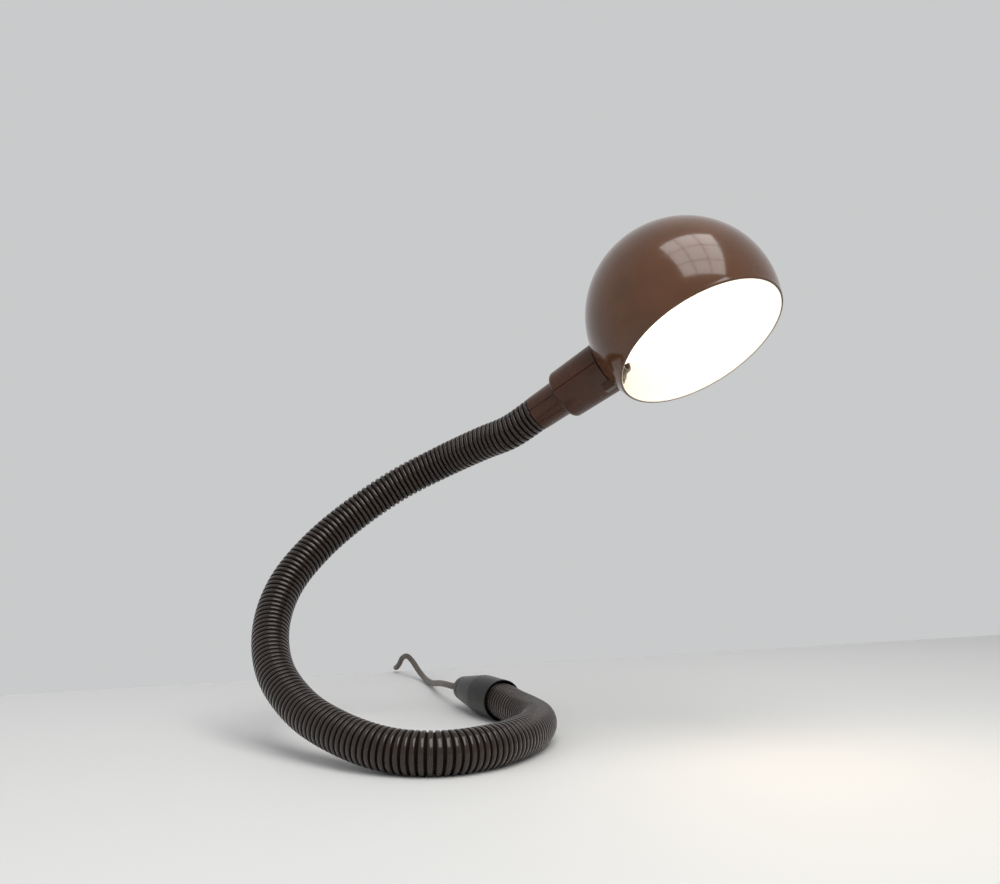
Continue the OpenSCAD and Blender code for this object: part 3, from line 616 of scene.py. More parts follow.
def lathe(name, profile, sides):
    """A ring drawn through the profile's (radius, height) steps along Z.

    A profile that returns to its start makes a closed tube. A radius of 0 at either end
    closes it in a pole.
    """
    clear_selection()
    pole = profile[0][0] == 0
    radius, z = profile[1] if pole else profile[0]
    bpy.ops.mesh.primitive_circle_add(
        vertices=sides, radius=radius, fill_type="TRIFAN" if pole else "NOTHING",
        location=(0, 0, z))
    piece = bpy.context.object
    piece.name = piece.data.name = name
    pick(piece)
    bpy.ops.object.transform_apply(location=True, rotation=True, scale=True)
    edit(piece)
    bpy.ops.mesh.select_all(action="DESELECT")
    leave()
    for v in piece.data.vertices:
        v.select = v.co.xy.length > radius / 2
        if not v.select:
            v.co.z = profile[0][1]
    bpy.ops.object.mode_set(mode="EDIT")
    for r, height in profile[2 if pole else 1:]:
        bpy.ops.mesh.extrude_edges_move(TRANSFORM_OT_translate={"value": (0, 0, height - z)})
        k = max(r, POLE_R) / radius
        bpy.ops.transform.resize(value=(k, k, 1), center_override=(0, 0, height))
        radius, z = max(r, POLE_R), height
    if profile[-1][0] == 0:
        bpy.ops.mesh.merge(type="CENTER")
    bpy.ops.mesh.select_all(action="SELECT")
    bpy.ops.mesh.remove_doubles(threshold=MERGE)
    bpy.ops.mesh.normals_make_consistent(inside=False)
    leave()
    return piece


def modify(piece, kind, **settings):
    """Adds a modifier and applies it."""
    pick(piece)
    made = piece.modifiers.new(kind.title(), kind)
    for name, value in settings.items():
        setattr(made, name, value)
    bpy.ops.object.modifier_apply(modifier=made.name)
    return piece


def soften(piece, width, angle):
    """Rounds the edges that are sharper than an angle in degrees."""
    return modify(piece, "BEVEL", width=width, segments=2, limit_method="ANGLE",
                  angle_limit=math.radians(angle))


def smooth(piece, angle=35):
    pick(piece)
    bpy.ops.object.shade_smooth_by_angle(angle=math.radians(angle))
    return piece


def put(piece, matrix):
    """Moves a piece to its place, into its mesh."""
    pick(piece)
    piece.matrix_world = matrix @ piece.matrix_world
    bpy.ops.object.transform_apply(location=True, rotation=True, scale=True)
    return piece


def join(name, *pieces):
    pick(*pieces)
    if len(pieces) > 1:
        bpy.ops.object.join()
    pieces[0].name = pieces[0].data.name = name
    return pieces[0]


def cut(piece, tool, operation="DIFFERENCE"):
    """Takes a tool's form out of a piece, or keeps only what lies in it."""
    modify(piece, "BOOLEAN", object=tool, operation=operation, solver="EXACT")
    bpy.data.objects.remove(tool)
    return piece


def rod(name, radius, low, high, sides):
    """A plain round bar from one height to another."""
    return lathe(name, [(0, low), (radius, low), (radius, high), (0, high)], sides)


def slotted(name, profile, slot_at, sides):
    """A screw with a slot across its head."""
    screw = lathe(name, profile, sides)
    return smooth(cut(screw, block("slot", (0.007, 0.0008, 0.0016), (0, 0, slot_at))))


def block(name, size, centre, width=0.0):
    """A box, whose edges are rounded to a width."""
    clear_selection()
    bpy.ops.mesh.primitive_cube_add(size=1, location=centre)
    piece = bpy.context.object
    piece.scale = size
    piece.name = piece.data.name = name
    pick(piece)
    bpy.ops.object.transform_apply(location=True, rotation=True, scale=True)
    if width:
        modify(piece, "BEVEL", width=width, segments=2, limit_method="ANGLE")
    return piece


def select_along(piece, axis):
    """Selects the edges that run more than 1 mm along an axis, in edit mode."""
    def runs(e):
        first, last = (getattr(piece.data.vertices[i].co, axis) for i in e.vertices)
        return abs(first - last) > 0.001
    select(piece, runs, "edges")


def dress(piece, *materials):
    piece.data.materials.clear()
    for m in materials:
        piece.data.materials.append(m)
    return piece


def finish_piece(piece, body, slot, *nodes):
    """Puts a piece on its body and hides the part's nodes that it takes the place of; slot is not
    used.
    """
    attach(piece, body)
    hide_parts(*nodes)
    return piece


FINISHES = {}


def finish(name):
    """A finish by name, made once."""
    if name not in FINISHES:
        c = bpy.context.scene.lamp_colours
        FINISHES[name] = {
            "neck": lambda: neck_plastic(c),
            "cap": lambda: cap_plastic(c),
            "housing": lambda: housing_plastic(c),
            "lacquer": lambda: shade_lacquer(c),
            "enamel": lambda: shade_enamel(c),
            "pearl": lambda: bulb_pearl(c),
            "clear": clear_glass,
            "wire": glowing_wire,
            "lead": lambda: lead_rubber(c),
            "fittings": lambda: moulded("fittings_plastic", c.fittings),
            "holder": lambda: moulded("holder_plastic", (0.034, 0.022, 0.014), 0.28),
            "rocker": lambda: moulded("rocker_plastic", c.rocker, 0.30),
            "steel": lambda: metal("spring_steel", (0.42, 0.42, 0.43), 0.32),
            "zinc": lambda: metal("zinc_plate", (0.62, 0.62, 0.60), 0.28),
            "brass": lambda: metal("plain_brass", (0.78, 0.56, 0.24), 0.25),
            "nickel": lambda: metal("nickel_plate", (0.70, 0.68, 0.64), 0.18),
            "strap": strap_cloth,
            "floor": lambda: stage_floor(c),
            "wall": lambda: stage_wall(c),
        }[name]()
    return FINISHES[name]


def fit(piece, place, finish_name, body, slot, *nodes):
    """Moves a piece to its place and gives it its finish and body, and hides the nodes it stands
    in for; slot is not used.
    """
    dress(put(piece, place), finish(finish_name))
    return finish_piece(piece, body, slot, *nodes)


# ---------------------------------------------------------------------------
# Pieces
# ---------------------------------------------------------------------------
class LAMP_OT_camera(bpy.types.Operator):
    """Camera at the photograph's place, looking slightly up at the lamp"""

    bl_idname = "lamp.camera"
    bl_label = "Camera"

    def execute(self, context):
        data = bpy.data.cameras.new("lamp_camera")
        data.lens = data.sensor_width = 36
        data.sensor_fit = "HORIZONTAL"
        data.clip_start = 0.01
        camera = bpy.data.objects.new("lamp_camera", data)
        context.scene.collection.objects.link(camera)
        camera.location = CAMERA_AT
        camera.rotation_euler = (math.radians(90) + math.atan(CAMERA_RISE), 0, 0)
        context.scene.camera = camera
        return {"FINISHED"}


def coil_path():
    """The lead from the switch through its coil to the plug; the plug's seat and azimuth."""
    line_z = SWITCH_H / 2
    low_z = CORD_D / 2 + LIFT
    high_z = low_z + COIL_STEP
    layer = COIL_TURNS / 2
    first = SWITCH_AZIMUTH + 90

    def turn(t):
        """Place after t turns, inwards on the lower layer and outwards again on the upper."""
        u = t if t <= layer else COIL_TURNS - t
        r = COIL_R - COIL_STEP * u
        k = min(1, max(0, (t - layer + COIL_CLIMB / 2) / COIL_CLIMB))
        a = math.radians(first - 360 * t)
        return Vector((COIL_CENTRE.x + r * math.cos(a), COIL_CENTRE.y + r * math.sin(a),
                       low_z + COIL_STEP * k * k * (3 - 2 * k)))

    last = math.radians(first - 360 * COIL_TURNS)
    out = Vector((math.sin(last), -math.cos(last), 0))
    end = turn(COIL_TURNS)
    seat = Vector((end.x, end.y, PLUG_Z)) + COIL_LEAD_OUT * out
    start = SWITCH_FROM + SWITCH_LEN * SWITCH_DIR + Vector((0, 0, line_z))
    path = [start, start + CORD_D * SWITCH_DIR]
    # Down to the table, as shares of the lead-in and of the height
    for share, drop in ((0.55, 0.6), (0.8, 1)):
        path.append(start + share * COIL_LEAD_IN * SWITCH_DIR
                    - Vector((0, 0, drop * (line_z - low_z))))
    path += [turn(i / COIL_STEPS) for i in range(int(COIL_STEPS * COIL_TURNS) + 1)]
    path += [
        seat - 0.6 * COIL_LEAD_OUT * out + Vector((0, 0, (high_z - PLUG_Z) * 0.5)),
        seat - CORD_D * out, seat,
    ]
    return path, seat, math.degrees(last) - 90


def laid_curve(name, path, radius):
    """A round lead along a path, as one open curve."""
    data = bpy.data.curves.new(name, "CURVE")
    data.dimensions = "3D"
    data.bevel_depth = radius
    data.bevel_resolution = 5
    data.use_fill_caps = True
    spline = data.splines.new("POLY")
    spline.points.add(len(path) - 1)
    for point, place in zip(spline.points, path):
        point.co = (*place, 1)
    spline.use_smooth = True
    piece = bpy.data.objects.new(name, data)
    bpy.context.scene.collection.objects.link(piece)
    return piece


class LAMP_OT_mains_lead(bpy.types.Operator):
    """Mains lead: from the end cap to the switch, and on through its coil to the plug"""

    bl_idname = "lamp.mains_lead"
    bl_label = "Mains lead"

    def execute(self, context):
        line = Vector((0, 0, SWITCH_H / 2))
        path = curve_through(
            [CORD_EXIT, CORD_EXIT + CORD_D * CAP_DIR] + in_metres(CORD_POINTS)
            + [SWITCH_FROM + line - CORD_D * SWITCH_DIR, SWITCH_FROM + line], steps=6)
        coil = coil_path()[0]
        run = self.lead("mains_lead_run", path, "cord_run")
        wound = self.lead("mains_lead_coil", coil, "cord_coil")
        run_lengths(path)[-1]
        run_lengths(coil)[-1]
        return {"FINISHED"}

    @staticmethod
    def lead(name, path, node):
        piece = dress(laid_curve(name, path, CORD_D / 2), finish("lead"))
        return finish_piece(piece, "base", "cord", node)


class LAMP_OT_neck(bpy.types.Operator):
    """Ribbed sheath of the neck, in pieces that span its pivots"""

    bl_idname = "lamp.neck"
    bl_label = "Neck"

    # Radius of the bore, length of its faces, and how close two vertices are one
    BORE = 0.0098
    BORE_STEP = 0.0086
    NEAR = 1e-5

    def execute(self, context):
        sizes = context.scene.lamp_sizes
        pitch = NECK_LEN / RIBS
        # Half a rib: its depth below the crest as a share, and its place in the pitch
        rise = [(1, 0), (1, 0.10), (0.75, 0.15), (0.22, 0.20), (0.04, 0.28)]
        steps = rise + [(0, 0.5)] + [(deep, 1 - z) for deep, z in reversed(rise)]
        profile = [(sizes.sheath_r - deep * sizes.rib_depth, z * pitch) for deep, z in steps]
        path = laid_curve("neck_line", NECK_PATH, 0)
        # The pieces meet ahead of the first pivot, between two, and beyond the last
        meets = [0.300, 0.382, 0.460, 0.539, 0.617, 0.700]
        ends = [0] + [round(s / pitch) for s in meets] + [RIBS]
        bodies = ["base", "arm_1", "arm_2", "arm_3", "arm_4", "head"]
        for k, (first, last) in enumerate(zip(ends, ends[1:])):
            ribs = lathe("neck_sheath_%d" % (k + 1), profile, sizes.sheath_sides)
            put(ribs, LYING)
            put(ribs, Matrix.Translation((first * pitch, 0, 0)))
            modify(ribs, "ARRAY", count=last - first, use_relative_offset=False,
                   use_constant_offset=True, constant_offset_displace=(pitch, 0, 0),
                   use_merge_vertices=True, merge_threshold=self.NEAR)
            self.line_bore(ribs, first * pitch, last * pitch)
            groove = ribs.data.attributes.new("groove", "FLOAT", "POINT")
            for v, value in zip(ribs.data.vertices, groove.data):
                deep = (sizes.sheath_r - math.hypot(v.co.y, v.co.z)) / sizes.rib_depth
                value.value = min(1.0, max(0.0, deep))
            modify(ribs, "CURVE", object=path, deform_axis="POS_X")
            # The resting hook is pressed flat where it lies on the table
            for v in ribs.data.vertices:
                v.co.z = max(v.co.z, 0)
            dress(smooth(ribs, 60), finish("neck"))
            if k in (0, len(PIVOTS) + 1):
                body = bodies[-1 if k else 0]
                finish_piece(ribs, body, "sheath", "sheath_" + body)
                continue
            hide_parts("bellows_%d" % k)
            if k < len(PIVOTS):
                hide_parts("sheath_%d" % k)
            tuple(along_neck(PIVOTS[k - 1] - BEND_REACH))
            tuple(along_neck(PIVOTS[k - 1] + BEND_REACH))
            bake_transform(ribs)
        bpy.data.objects.remove(path)
        return {"FINISHED"}

    def line_bore(self, piece, start, end):
        """Closes both ends and lines the bore."""
        def at_end(v):
            return abs(v.co.x - end) < self.NEAR

        edit(piece, "EDGE")
        select(piece, lambda e: all(at_end(piece.data.vertices[i]) for i in e.vertices), "edges")
        k = self.BORE / math.hypot(*next(v for v in piece.data.vertices if at_end(v)).co.yz)
        steps = max(1, round((end - start) / self.BORE_STEP))
        bpy.ops.mesh.extrude_edges_move(TRANSFORM_OT_translate={"value": (0, 0, 0)})
        bpy.ops.transform.resize(value=(1, k, k), center_override=(end, 0, 0))
        for _ in range(steps):
            bpy.ops.mesh.extrude_edges_move(
                TRANSFORM_OT_translate={"value": ((start - end) / steps, 0, 0)})
        bpy.ops.mesh.extrude_edges_move(TRANSFORM_OT_translate={"value": (0, 0, 0)})
        bpy.ops.transform.resize(value=(1, 1 / k, 1 / k), center_override=(start, 0, 0))
        bpy.ops.mesh.select_all(action="SELECT")
        bpy.ops.mesh.remove_doubles(threshold=self.NEAR)
        bpy.ops.mesh.normals_make_consistent(inside=False)
        leave()


class LAMP_OT_end_cap(bpy.types.Operator):
    """Closed end of the neck: cap, its slotted screw and the lead's grip"""

    bl_idname = "lamp.end_cap"
    bl_label = "End cap"

    def execute(self, context):
        sizes = context.scene.lamp_sizes
        r, tip, wall, edge = sizes.cap_r, sizes.cap_tip_r, 0.0011, 0.0015
        shoulder, cone_to, inside = CAP_INSERT + 0.007, CAP_LEN - edge, FERRULE_TO + 0.0003
        passage = 0.0061

        def cone(z):
            return r - (r - tip) * (z - shoulder) / (cone_to - shoulder)

        profile = [(r - wall, 0.0006), (r - wall + 0.0003, 0), (r - 0.0003, 0), (r, 0.0004),
                   (r, shoulder - 0.0012), (cone(shoulder + 0.0012), shoulder + 0.0012)]
        # Fine ring near the narrow end
        ring_at = CAP_LEN * 0.88
        profile += [(cone(ring_at - 0.0007), ring_at - 0.0007),
                    (cone(ring_at) - 0.0005, ring_at - 0.0004),
                    (cone(ring_at) - 0.0005, ring_at + 0.0004),
                    (cone(ring_at + 0.0007), ring_at + 0.0007)]
        profile += arc(tip - edge, cone_to, edge, range(0, 91, 18))
        profile += [(passage + 0.0002, CAP_LEN), (passage, CAP_LEN - 0.0003), (passage, inside),
                    (FERRULE_R, inside), (FERRULE_R, CAP_INSERT), (r - wall, CAP_INSERT),
                    (r - wall, 0.0006)]
        body = lathe("end_cap_shell", profile, 96)
        # Hole of the screw that holds the cap on its ferrule
        head, screw_z, screw_turn = r - 0.0035, FERRULE_TO - 0.014, math.radians(50)
        screw_at = (Matrix.Translation((0, 0, screw_z)) @ Matrix.Rotation(screw_turn, 4, "Z")
                    @ LYING)
        cut(body, put(lathe("screw_hole", [
            (0, 0.009), (0.0016, 0.009), (0.0016, head), (0.003, head), (0.003, 0.02),
            (0, 0.02)], 32), screw_at))
        along = body.data.attributes.new("along", "FLOAT_VECTOR", "POINT")
        for v, value in zip(body.data.vertices, along.data):
            value.vector = (v.co.z, v.co.x * 0.05, v.co.y * 0.05)
        smooth(body, 28)
        fit(body, CAP_FRAME, "cap", "base", "cap_black", "end_cap")
        screw = slotted("cap_screw", [(0, 0.0055), (0.0015, 0.0055)] + mm([
            (1.5, 0.1), (2.7, 0.1), (2.8, 0.3), (2.8, 1.3), (2.5, 1.6), (0, 1.6)], head),
            head + 0.0016, 40)
        fit(screw, CAP_FRAME @ screw_at, "zinc", "base", "zinc", "end_cap_screw")
        foot = (0.0029, FERRULE_TO + 0.0004)
        grip = lathe("lead_grip", [foot, (0.0060, foot[1])] + mm([
            (6.0, -1.0), (5.6, -0.2), (5.1, 0.8), (4.7, 1.3), (3.4, 1.4), (2.9, 1.0)],
            CAP_LEN) + [foot], 48)
        fit(smooth(grip, 40), CAP_FRAME, "holder", "base", "cap_black", "cord_grip")
        return {"FINISHED"}


class LAMP_OT_housing(bpy.types.Operator):
    """Socket housing in two halves, with its screws and the shade's stop"""

    bl_idname = "lamp.housing"
    bl_label = "Socket housing"

    # How far each half stands back from the parting line
    PARTING = 0.0002

    def execute(self, context):
        sizes = context.scene.lamp_sizes
        boss = sizes.boss_r
        whole = lathe("housing_whole", self.profile(boss, sizes.shade_r), 96)
        top = self.half(whole, "housing_top", -self.PARTING)
        bottom = self.half(whole, "housing_bottom", self.PARTING)
        bpy.data.objects.remove(whole)
        # Pillars of the two screws, and the seat of the screws' heads
        pillar_y, pillar_z = boss - 0.008, 0.0345
        head = math.sqrt(boss ** 2 - pillar_y ** 2) - 0.0035
        well_r = 0.0028
        screws, covers = [], []
        for y in (-pillar_y, pillar_y):
            place = Matrix.Translation((0, y, pillar_z)) @ LYING
            cut(bottom, put(rod("screw_well", well_r, head - 0.0001, 0.03, 32), place))
            screws.append(put(slotted("housing_screw", mm([
                (0, -12), (1.1, -12), (1.1, 0), (2.4, 0), (2.5, 0.2), (2.5, 0.5), (2.1, 0.8),
                (0, 0.9)], head), head + 0.0013, 36), place))
            # Cover that closes the well flush with the boss
            cover = put(rod("well_cover", well_r + 0.0001, head + 0.0010, head + 0.009, 36), place)
            covers.append(cut(cover, rod("boss_form", boss, 0.02, 0.05, 96), "INTERSECT"))
        smooth(top, 30)
        smooth(bottom, 30)
        stop = block("shade_stop", (0.006, 0.0075, 0.009), (0.0180, -0.0105, 0.0655), 0.0006)
        join("housing_bottom", bottom, stop, *covers)
        fit(top, NECK_FRAME, "housing", "head", "housing_brown", "housing_upper")
        fit(bottom, NECK_FRAME, "housing", "head", "housing_brown", "housing_lower")
        fit(join("housing_screw_pair", *screws), NECK_FRAME, "zinc", "head", "zinc",
            "housing_screws")
        return {"FINISHED"}

    @staticmethod
    def profile(boss, shade_r):
        """Sleeve, rounded shoulder and boss, whose end is cupped to the ball."""
        sleeve, sleeve_to, bore, wall, gap = 0.0137, 0.0144, 0.0121, 0.0022, 0.0003
        shoulder, round_r, end = 0.025, 0.004, 0.0712
        flare = boss + 0.0013 * (end - shoulder - round_r) / 0.048

        def cupped(r):
            return SHADE_AT - math.sqrt((shade_r + gap) ** 2 - r * r)

        return (
            [(bore, 0.0005), (bore + 0.0003, 0), (sleeve - 0.0003, 0), (sleeve, 0.0004),
             (sleeve_to - 0.0001, shoulder - 0.0010), (sleeve_to + 0.0003, shoulder - 0.0002)]
            + arc(boss - round_r, shoulder + round_r, round_r,
                  [11.25 * k - 90 for k in range(9)])
            + [(flare, cupped(flare) - 0.0004)]
            + [(r, cupped(r)) for r in (flare - 0.0005, flare - 0.0015, flare - wall)]
            + [(boss - wall, 0.030), (boss - wall - 0.001, 0.028), (bore + 0.0004, 0.0275),
               (bore, 0.0245), (bore, 0.0005)])

    @staticmethod
    def half(whole, name, back):
        """The half that lies on the side of x at which back does."""
        pick(whole)
        bpy.ops.object.duplicate()
        half = bpy.context.object
        half.name = half.data.name = name
        edit(half)
        bpy.ops.mesh.select_all(action="SELECT")
        bpy.ops.mesh.bisect(plane_co=(back, 0, 0), plane_no=(math.copysign(1, back), 0, 0),
                            clear_inner=True, use_fill=True)
        leave()
        return soften(half, 0.0003, 50)


class LAMP_OT_shade(bpy.types.Operator):
    """Ball shade: spun shell with a rolled rim, lacquered outside and white inside"""

    bl_idname = "lamp.shade"
    bl_label = "Ball shade"

    RINGS = 60

    def execute(self, context):
        sizes = context.scene.lamp_sizes
        r, wall, bead, hole_r = sizes.shade_r, sizes.shade_wall, 0.0011, 0.0141
        rim_r = math.sqrt(r * r - MOUTH_OFFSET ** 2) - bead
        profile = [(0, -r)] + self.shell(r, MOUTH_OFFSET)[::-1]
        profile += arc(rim_r, MOUTH_OFFSET, bead, range(20, 201, 20))
        profile += self.shell(r - wall, MOUTH_OFFSET - 0.0014) + [(0, wall - r)]
        shade = put(lathe("ball_shade", profile, 144), MOUTH_FRAME)
        # Hole in the back for the lampholder
        cut(shade, put(rod("socket_hole", hole_r, 0.05, 0.08, 64), NECK_FRAME))
        dress(shade, finish("lacquer"), finish("enamel"))
        centre = MOUTH_FRAME.translation
        for p in shade.data.polygons:
            p.material_index = int((p.center - centre).length < r - wall * 0.7
                                   and (p.center - centre).dot(p.normal) < 0)
        finish_piece(smooth(shade, 50), "shade", "shade_lacquer", "shade")
        return {"FINISHED"}

    def shell(self, radius, lip):
        """Profile of a ball from the height of its lip to just below its pole."""
        first = math.degrees(math.asin(lip / radius))
        return arc(0, 0, radius, [
            first - (90 + first) * k / self.RINGS for k in range(self.RINGS)])


class LAMP_OT_socket(bpy.types.Operator):
    """Lampholder with its threaded skirt, shade ring and screw shell"""

    bl_idname = "lamp.socket"
    bl_label = "Lampholder"

    def execute(self, context):
        r = 13.3
        thread = [(r - 0.6, 0), (r, 0.8), (r, 1.6), (r - 0.6, 2.2)]
        body = lathe("lampholder_body", mm(
            [(5.2, 40.5), (13.0, 40.5), (r, 41.0), (r, 61.2)]
            + repeated(thread, 62, 2.6, 6)
            + [(r - 0.5, 79.0), (r - 0.9, 80.0), (11.3, 80.0), (11.0, 79.6), (11.0, 73.0),
               (8.3, 72.8), (8.2, 50.0), (5.2, 50.0), (5.2, 40.5)]), 72)
        fit(smooth(body, 35), NECK_FRAME, "holder", "head", "holder_black", "lampholder")
        # The ring bears on the inside of the shade with its outer edge, 18 mm from the axis
        sizes = context.scene.lamp_sizes
        inside_r, ring_r, gap = sizes.shade_r - sizes.shade_wall, 0.018, 0.0003
        ring_at = SHADE_AT - math.sqrt(inside_r ** 2 - ring_r ** 2) + gap
        ring = lathe("shade_clamp_ring", mm([
            (13.4, 0), (17.6, 0), (18.0, 0.4), (18.0, 1.7), (17.7, 2.0), (15.8, 2.1),
            (15.6, 2.4), (15.6, 4.7), (15.3, 5.0), (13.6, 5.0), (13.4, 4.8), (13.4, 0)],
            ring_at), 72)
        teeth = 24

        def tooth(p):
            a = math.atan2(p.center.y, p.center.x) / math.tau * teeth
            outer = math.hypot(p.center.x, p.center.y) > 0.0155
            return (outer and p.center.z > ring_at + 0.0023 and abs(p.normal.z) < 0.3
                    and (a % 1) < 0.5)

        edit(ring, "FACE")
        select(ring, tooth)
        bpy.ops.mesh.extrude_region_shrink_fatten(
            TRANSFORM_OT_shrink_fatten={"value": 0.0004})
        leave()
        fit(smooth(ring, 35), NECK_FRAME, "holder", "head", "holder_black", "shade_ring")
        return {"FINISHED"}


class LAMP_OT_bulb(bpy.types.Operator):
    """Small ball bulb, lit"""

    bl_idname = "lamp.bulb"
    bl_label = "Bulb"

    def execute(self, context):
        # The bulb's foot in the housing's frame and its length, and where its glass begins
        foot, long, ball = 0.054, 0.078, context.scene.lamp_sizes.bulb_r
        centre, glass_from, neck = foot + long - ball, 0.074, 0.0063
        # The neck flares to meet the ball at this angle from its foot
        meet = math.radians(40)
        x, z = ball * math.sin(meet), centre - ball * math.cos(meet)
        flare_from = glass_from + 0.003
        profile = [(0, glass_from), (neck, glass_from)]
        for t in (k / 8 for k in range(9)):
            profile.append((neck + (x - neck) * t * t,
                            flare_from + (z - flare_from) * (3 * t - t * t) / 2))
        profile += arc(0, centre, ball, range(-44, 90, 6)) + [(0, centre + ball)]
        glass = smooth(lathe("bulb_envelope", profile, 72), 60)
        fit(glass, NECK_FRAME, "pearl", "head", "bulb_glass", "bulb_glass")
        thread = [(6.2, 0), (6.9, 0.8), (6.9, 1.3), (6.2, 2.0)]
        shell = lathe("bulb_screw_cap", mm(
            [(3.1, 0.8), (4.0, 1.0), (6.2, 2.6)] + repeated(thread, 3.4, 2.4, 6)
            + [(6.7, 18.5), (6.8, 20.6), (6.5, 20.8), (6.4, 4.2), (3.1, 4.0), (3.1, 0.8)],
            foot), 56)
        fit(smooth(shell, 50), NECK_FRAME, "nickel", "head", "cap_nickel", "bulb_cap")
        return {"FINISHED"}


class LAMP_OT_switch(bpy.types.Operator):
    """Inline rocker switch: case, cover and rocker"""

    bl_idname = "lamp.switch"
    bl_label = "Inline switch"

    def execute(self, context):
        part, mid, gap = SWITCH_H / 2, SWITCH_LEN / 2, 0.0001
        long, wide, top = 0.0166, 0.0098, 0.0152
        case = self.shell("switch_case", 0, part - gap)
        cover = self.shell("switch_cover", part + gap, SWITCH_H)
        cut(cover, block("rocker_gap", (long + 0.0020, wide + 0.0008, 0.02),
                         (mid, 0, SWITCH_H + 0.001)))
        for piece, node in ((case, "switch_lower"), (cover, "switch_upper")):
            smooth(soften(piece, 0.0003, 40), 35)
            fit(piece, SWITCH_FRAME, "fittings", "base", "switch_dark", node)
        rocker = block("switch_key", (long, wide, 0.0040), (mid, 0, top - 0.0020))
        edit(rocker, "EDGE")
        bpy.ops.mesh.select_all(action="SELECT")
        bpy.ops.mesh.subdivide(number_cuts=5)
        leave()
        # The top dips in the middle and along both sides
        for v in rocker.data.vertices:
            u = abs(v.co.x - mid) / (long / 2)
            if v.co.z > top - 0.0017:
                v.co.z += 0.0006 * (u * 2 - 1) - (0.0004 if abs(v.co.y) > 0.0045 else 0)
        smooth(soften(rocker, 0.0003, 40), 40)
        fit(rocker, SWITCH_FRAME, "rocker", "rocker", "rocker_cream", "switch_rocker")
        return {"FINISHED"}

    @staticmethod
    def shell(name, low, high):
        """One half of the switch's case, with rounded corners and softened faces."""
        piece = block(name, (SWITCH_LEN, SWITCH_W, high - low),
                      (SWITCH_LEN / 2, 0, (low + high) / 2))
        edit(piece, "EDGE")
        select_along(piece, "z")
        bpy.ops.mesh.bevel(offset=0.006, segments=6)
        outer = low if low == 0 else high
        select(piece, lambda e: all(abs(piece.data.vertices[i].co.z - outer) < 1e-6
                                    for i in e.vertices), "edges")
        bpy.ops.mesh.bevel(offset=0.0016, segments=3)
        leave()
        return piece


class LAMP_OT_plug(bpy.types.Operator):
    """Two-pin plug with its ribbed lead relief, and the coil's strap"""

    bl_idname = "lamp.plug"
    bl_label = "Plug and strap"

    PINS_Y = (-0.0093, 0.0093)

    def execute(self, context):
        long = context.scene.lamp_sizes.plug_len
        _, seat, azimuth = coil_path()
        place = turned(seat, azimuth, 0)
        relief = [(0, 0), (3.6, 0)]
        for k in range(7):
            z, r = 1.2 + k * 2.7, 3.8 + k * 0.32
            relief += [(r, z), (r + 0.3, z + 0.3), (r + 0.3, z + 1.5), (r - 0.4, z + 1.7),
                       (r - 0.4, z + 2.5)]
        relief += [(6.0, 20.2), (6.0, 21.5), (0, 21.5)]
        boot = smooth(lathe("plug_boot", mm(relief), 40), 30)
        wide, deep, case = 0.0353, 0.0137, 0.020
        body = block("plug_case", (deep, wide, case), (0, 0, long - case / 2))
        edit(body, "FACE")
        select(body, lambda p: p.normal.z < -0.5)
        bpy.ops.mesh.extrude_region_move(TRANSFORM_OT_translate={"value": (0, 0, -0.0098)})
        bpy.ops.transform.resize(
            value=(0.82, 0.013 / wide, 1), center_override=(0, 0, 0.0202))
        leave()
        modify(body, "BEVEL", width=0.0016, segments=4, limit_method="ANGLE",
               angle_limit=math.radians(20))
        for y in self.PINS_Y:
            hole = rod("pin_hole", 0.00155, long - 0.010, long + 0.005, 24)
            cut(body, put(hole, Matrix.Translation((0, y, 0))))
        shell = join("plug_shell", smooth(body, 30), boot)
        fit(shell, place, "fittings", "base", "switch_dark", "plug_body")
        prongs = []
        for y in self.PINS_Y:
            prong = lathe("plug_prong", mm([
                (0, -9.9), (1.5, -9.9), (1.5, 0.1), (2, 0.1), (2, 18), (1.7, 18.6),
                (1.0, 19), (0, 19)], long), 32)
            prongs.append(smooth(put(prong, Matrix.Translation((0, y, 0)))))
        fit(join("plug_prongs", *prongs), place, "nickel", "base", "cap_nickel", "plug_pins")
        self.strap()
        return {"FINISHED"}

    @staticmethod
    def strap():
        """Strap round both layers of the coil."""
        half = COIL_STEP * COIL_TURNS / 4 + CORD_D / 2 + 0.0006
        low, high = LIFT - 0.0003, CORD_D + LIFT + COIL_STEP + 0.0003
        wide, thick = 0.008, 0.0007
        strap = block("coil_strap", (2 * (half + thick), wide, high - low + 2 * thick),
                      (0, 0, (low + high) / 2))
        edit(strap, "EDGE")
        select_along(strap, "y")
        bpy.ops.mesh.bevel(offset=0.0030, segments=5)
        select(strap, lambda p: abs(p.normal.y) > 0.5)
        bpy.ops.mesh.delete(type="ONLY_FACE")
        leave()
        modify(strap, "SOLIDIFY", thickness=thick, offset=-1)
        smooth(soften(strap, 0.0002, 40), 35)
        around = Matrix.Rotation(math.radians(300), 4, "Z")
        place = (Matrix.Translation(COIL_CENTRE) @ around
                 @ Matrix.Translation((COIL_R - COIL_STEP * COIL_TURNS / 4, 0, 0)))
        fit(strap, place, "strap", "base", "tie", "cord_tie")


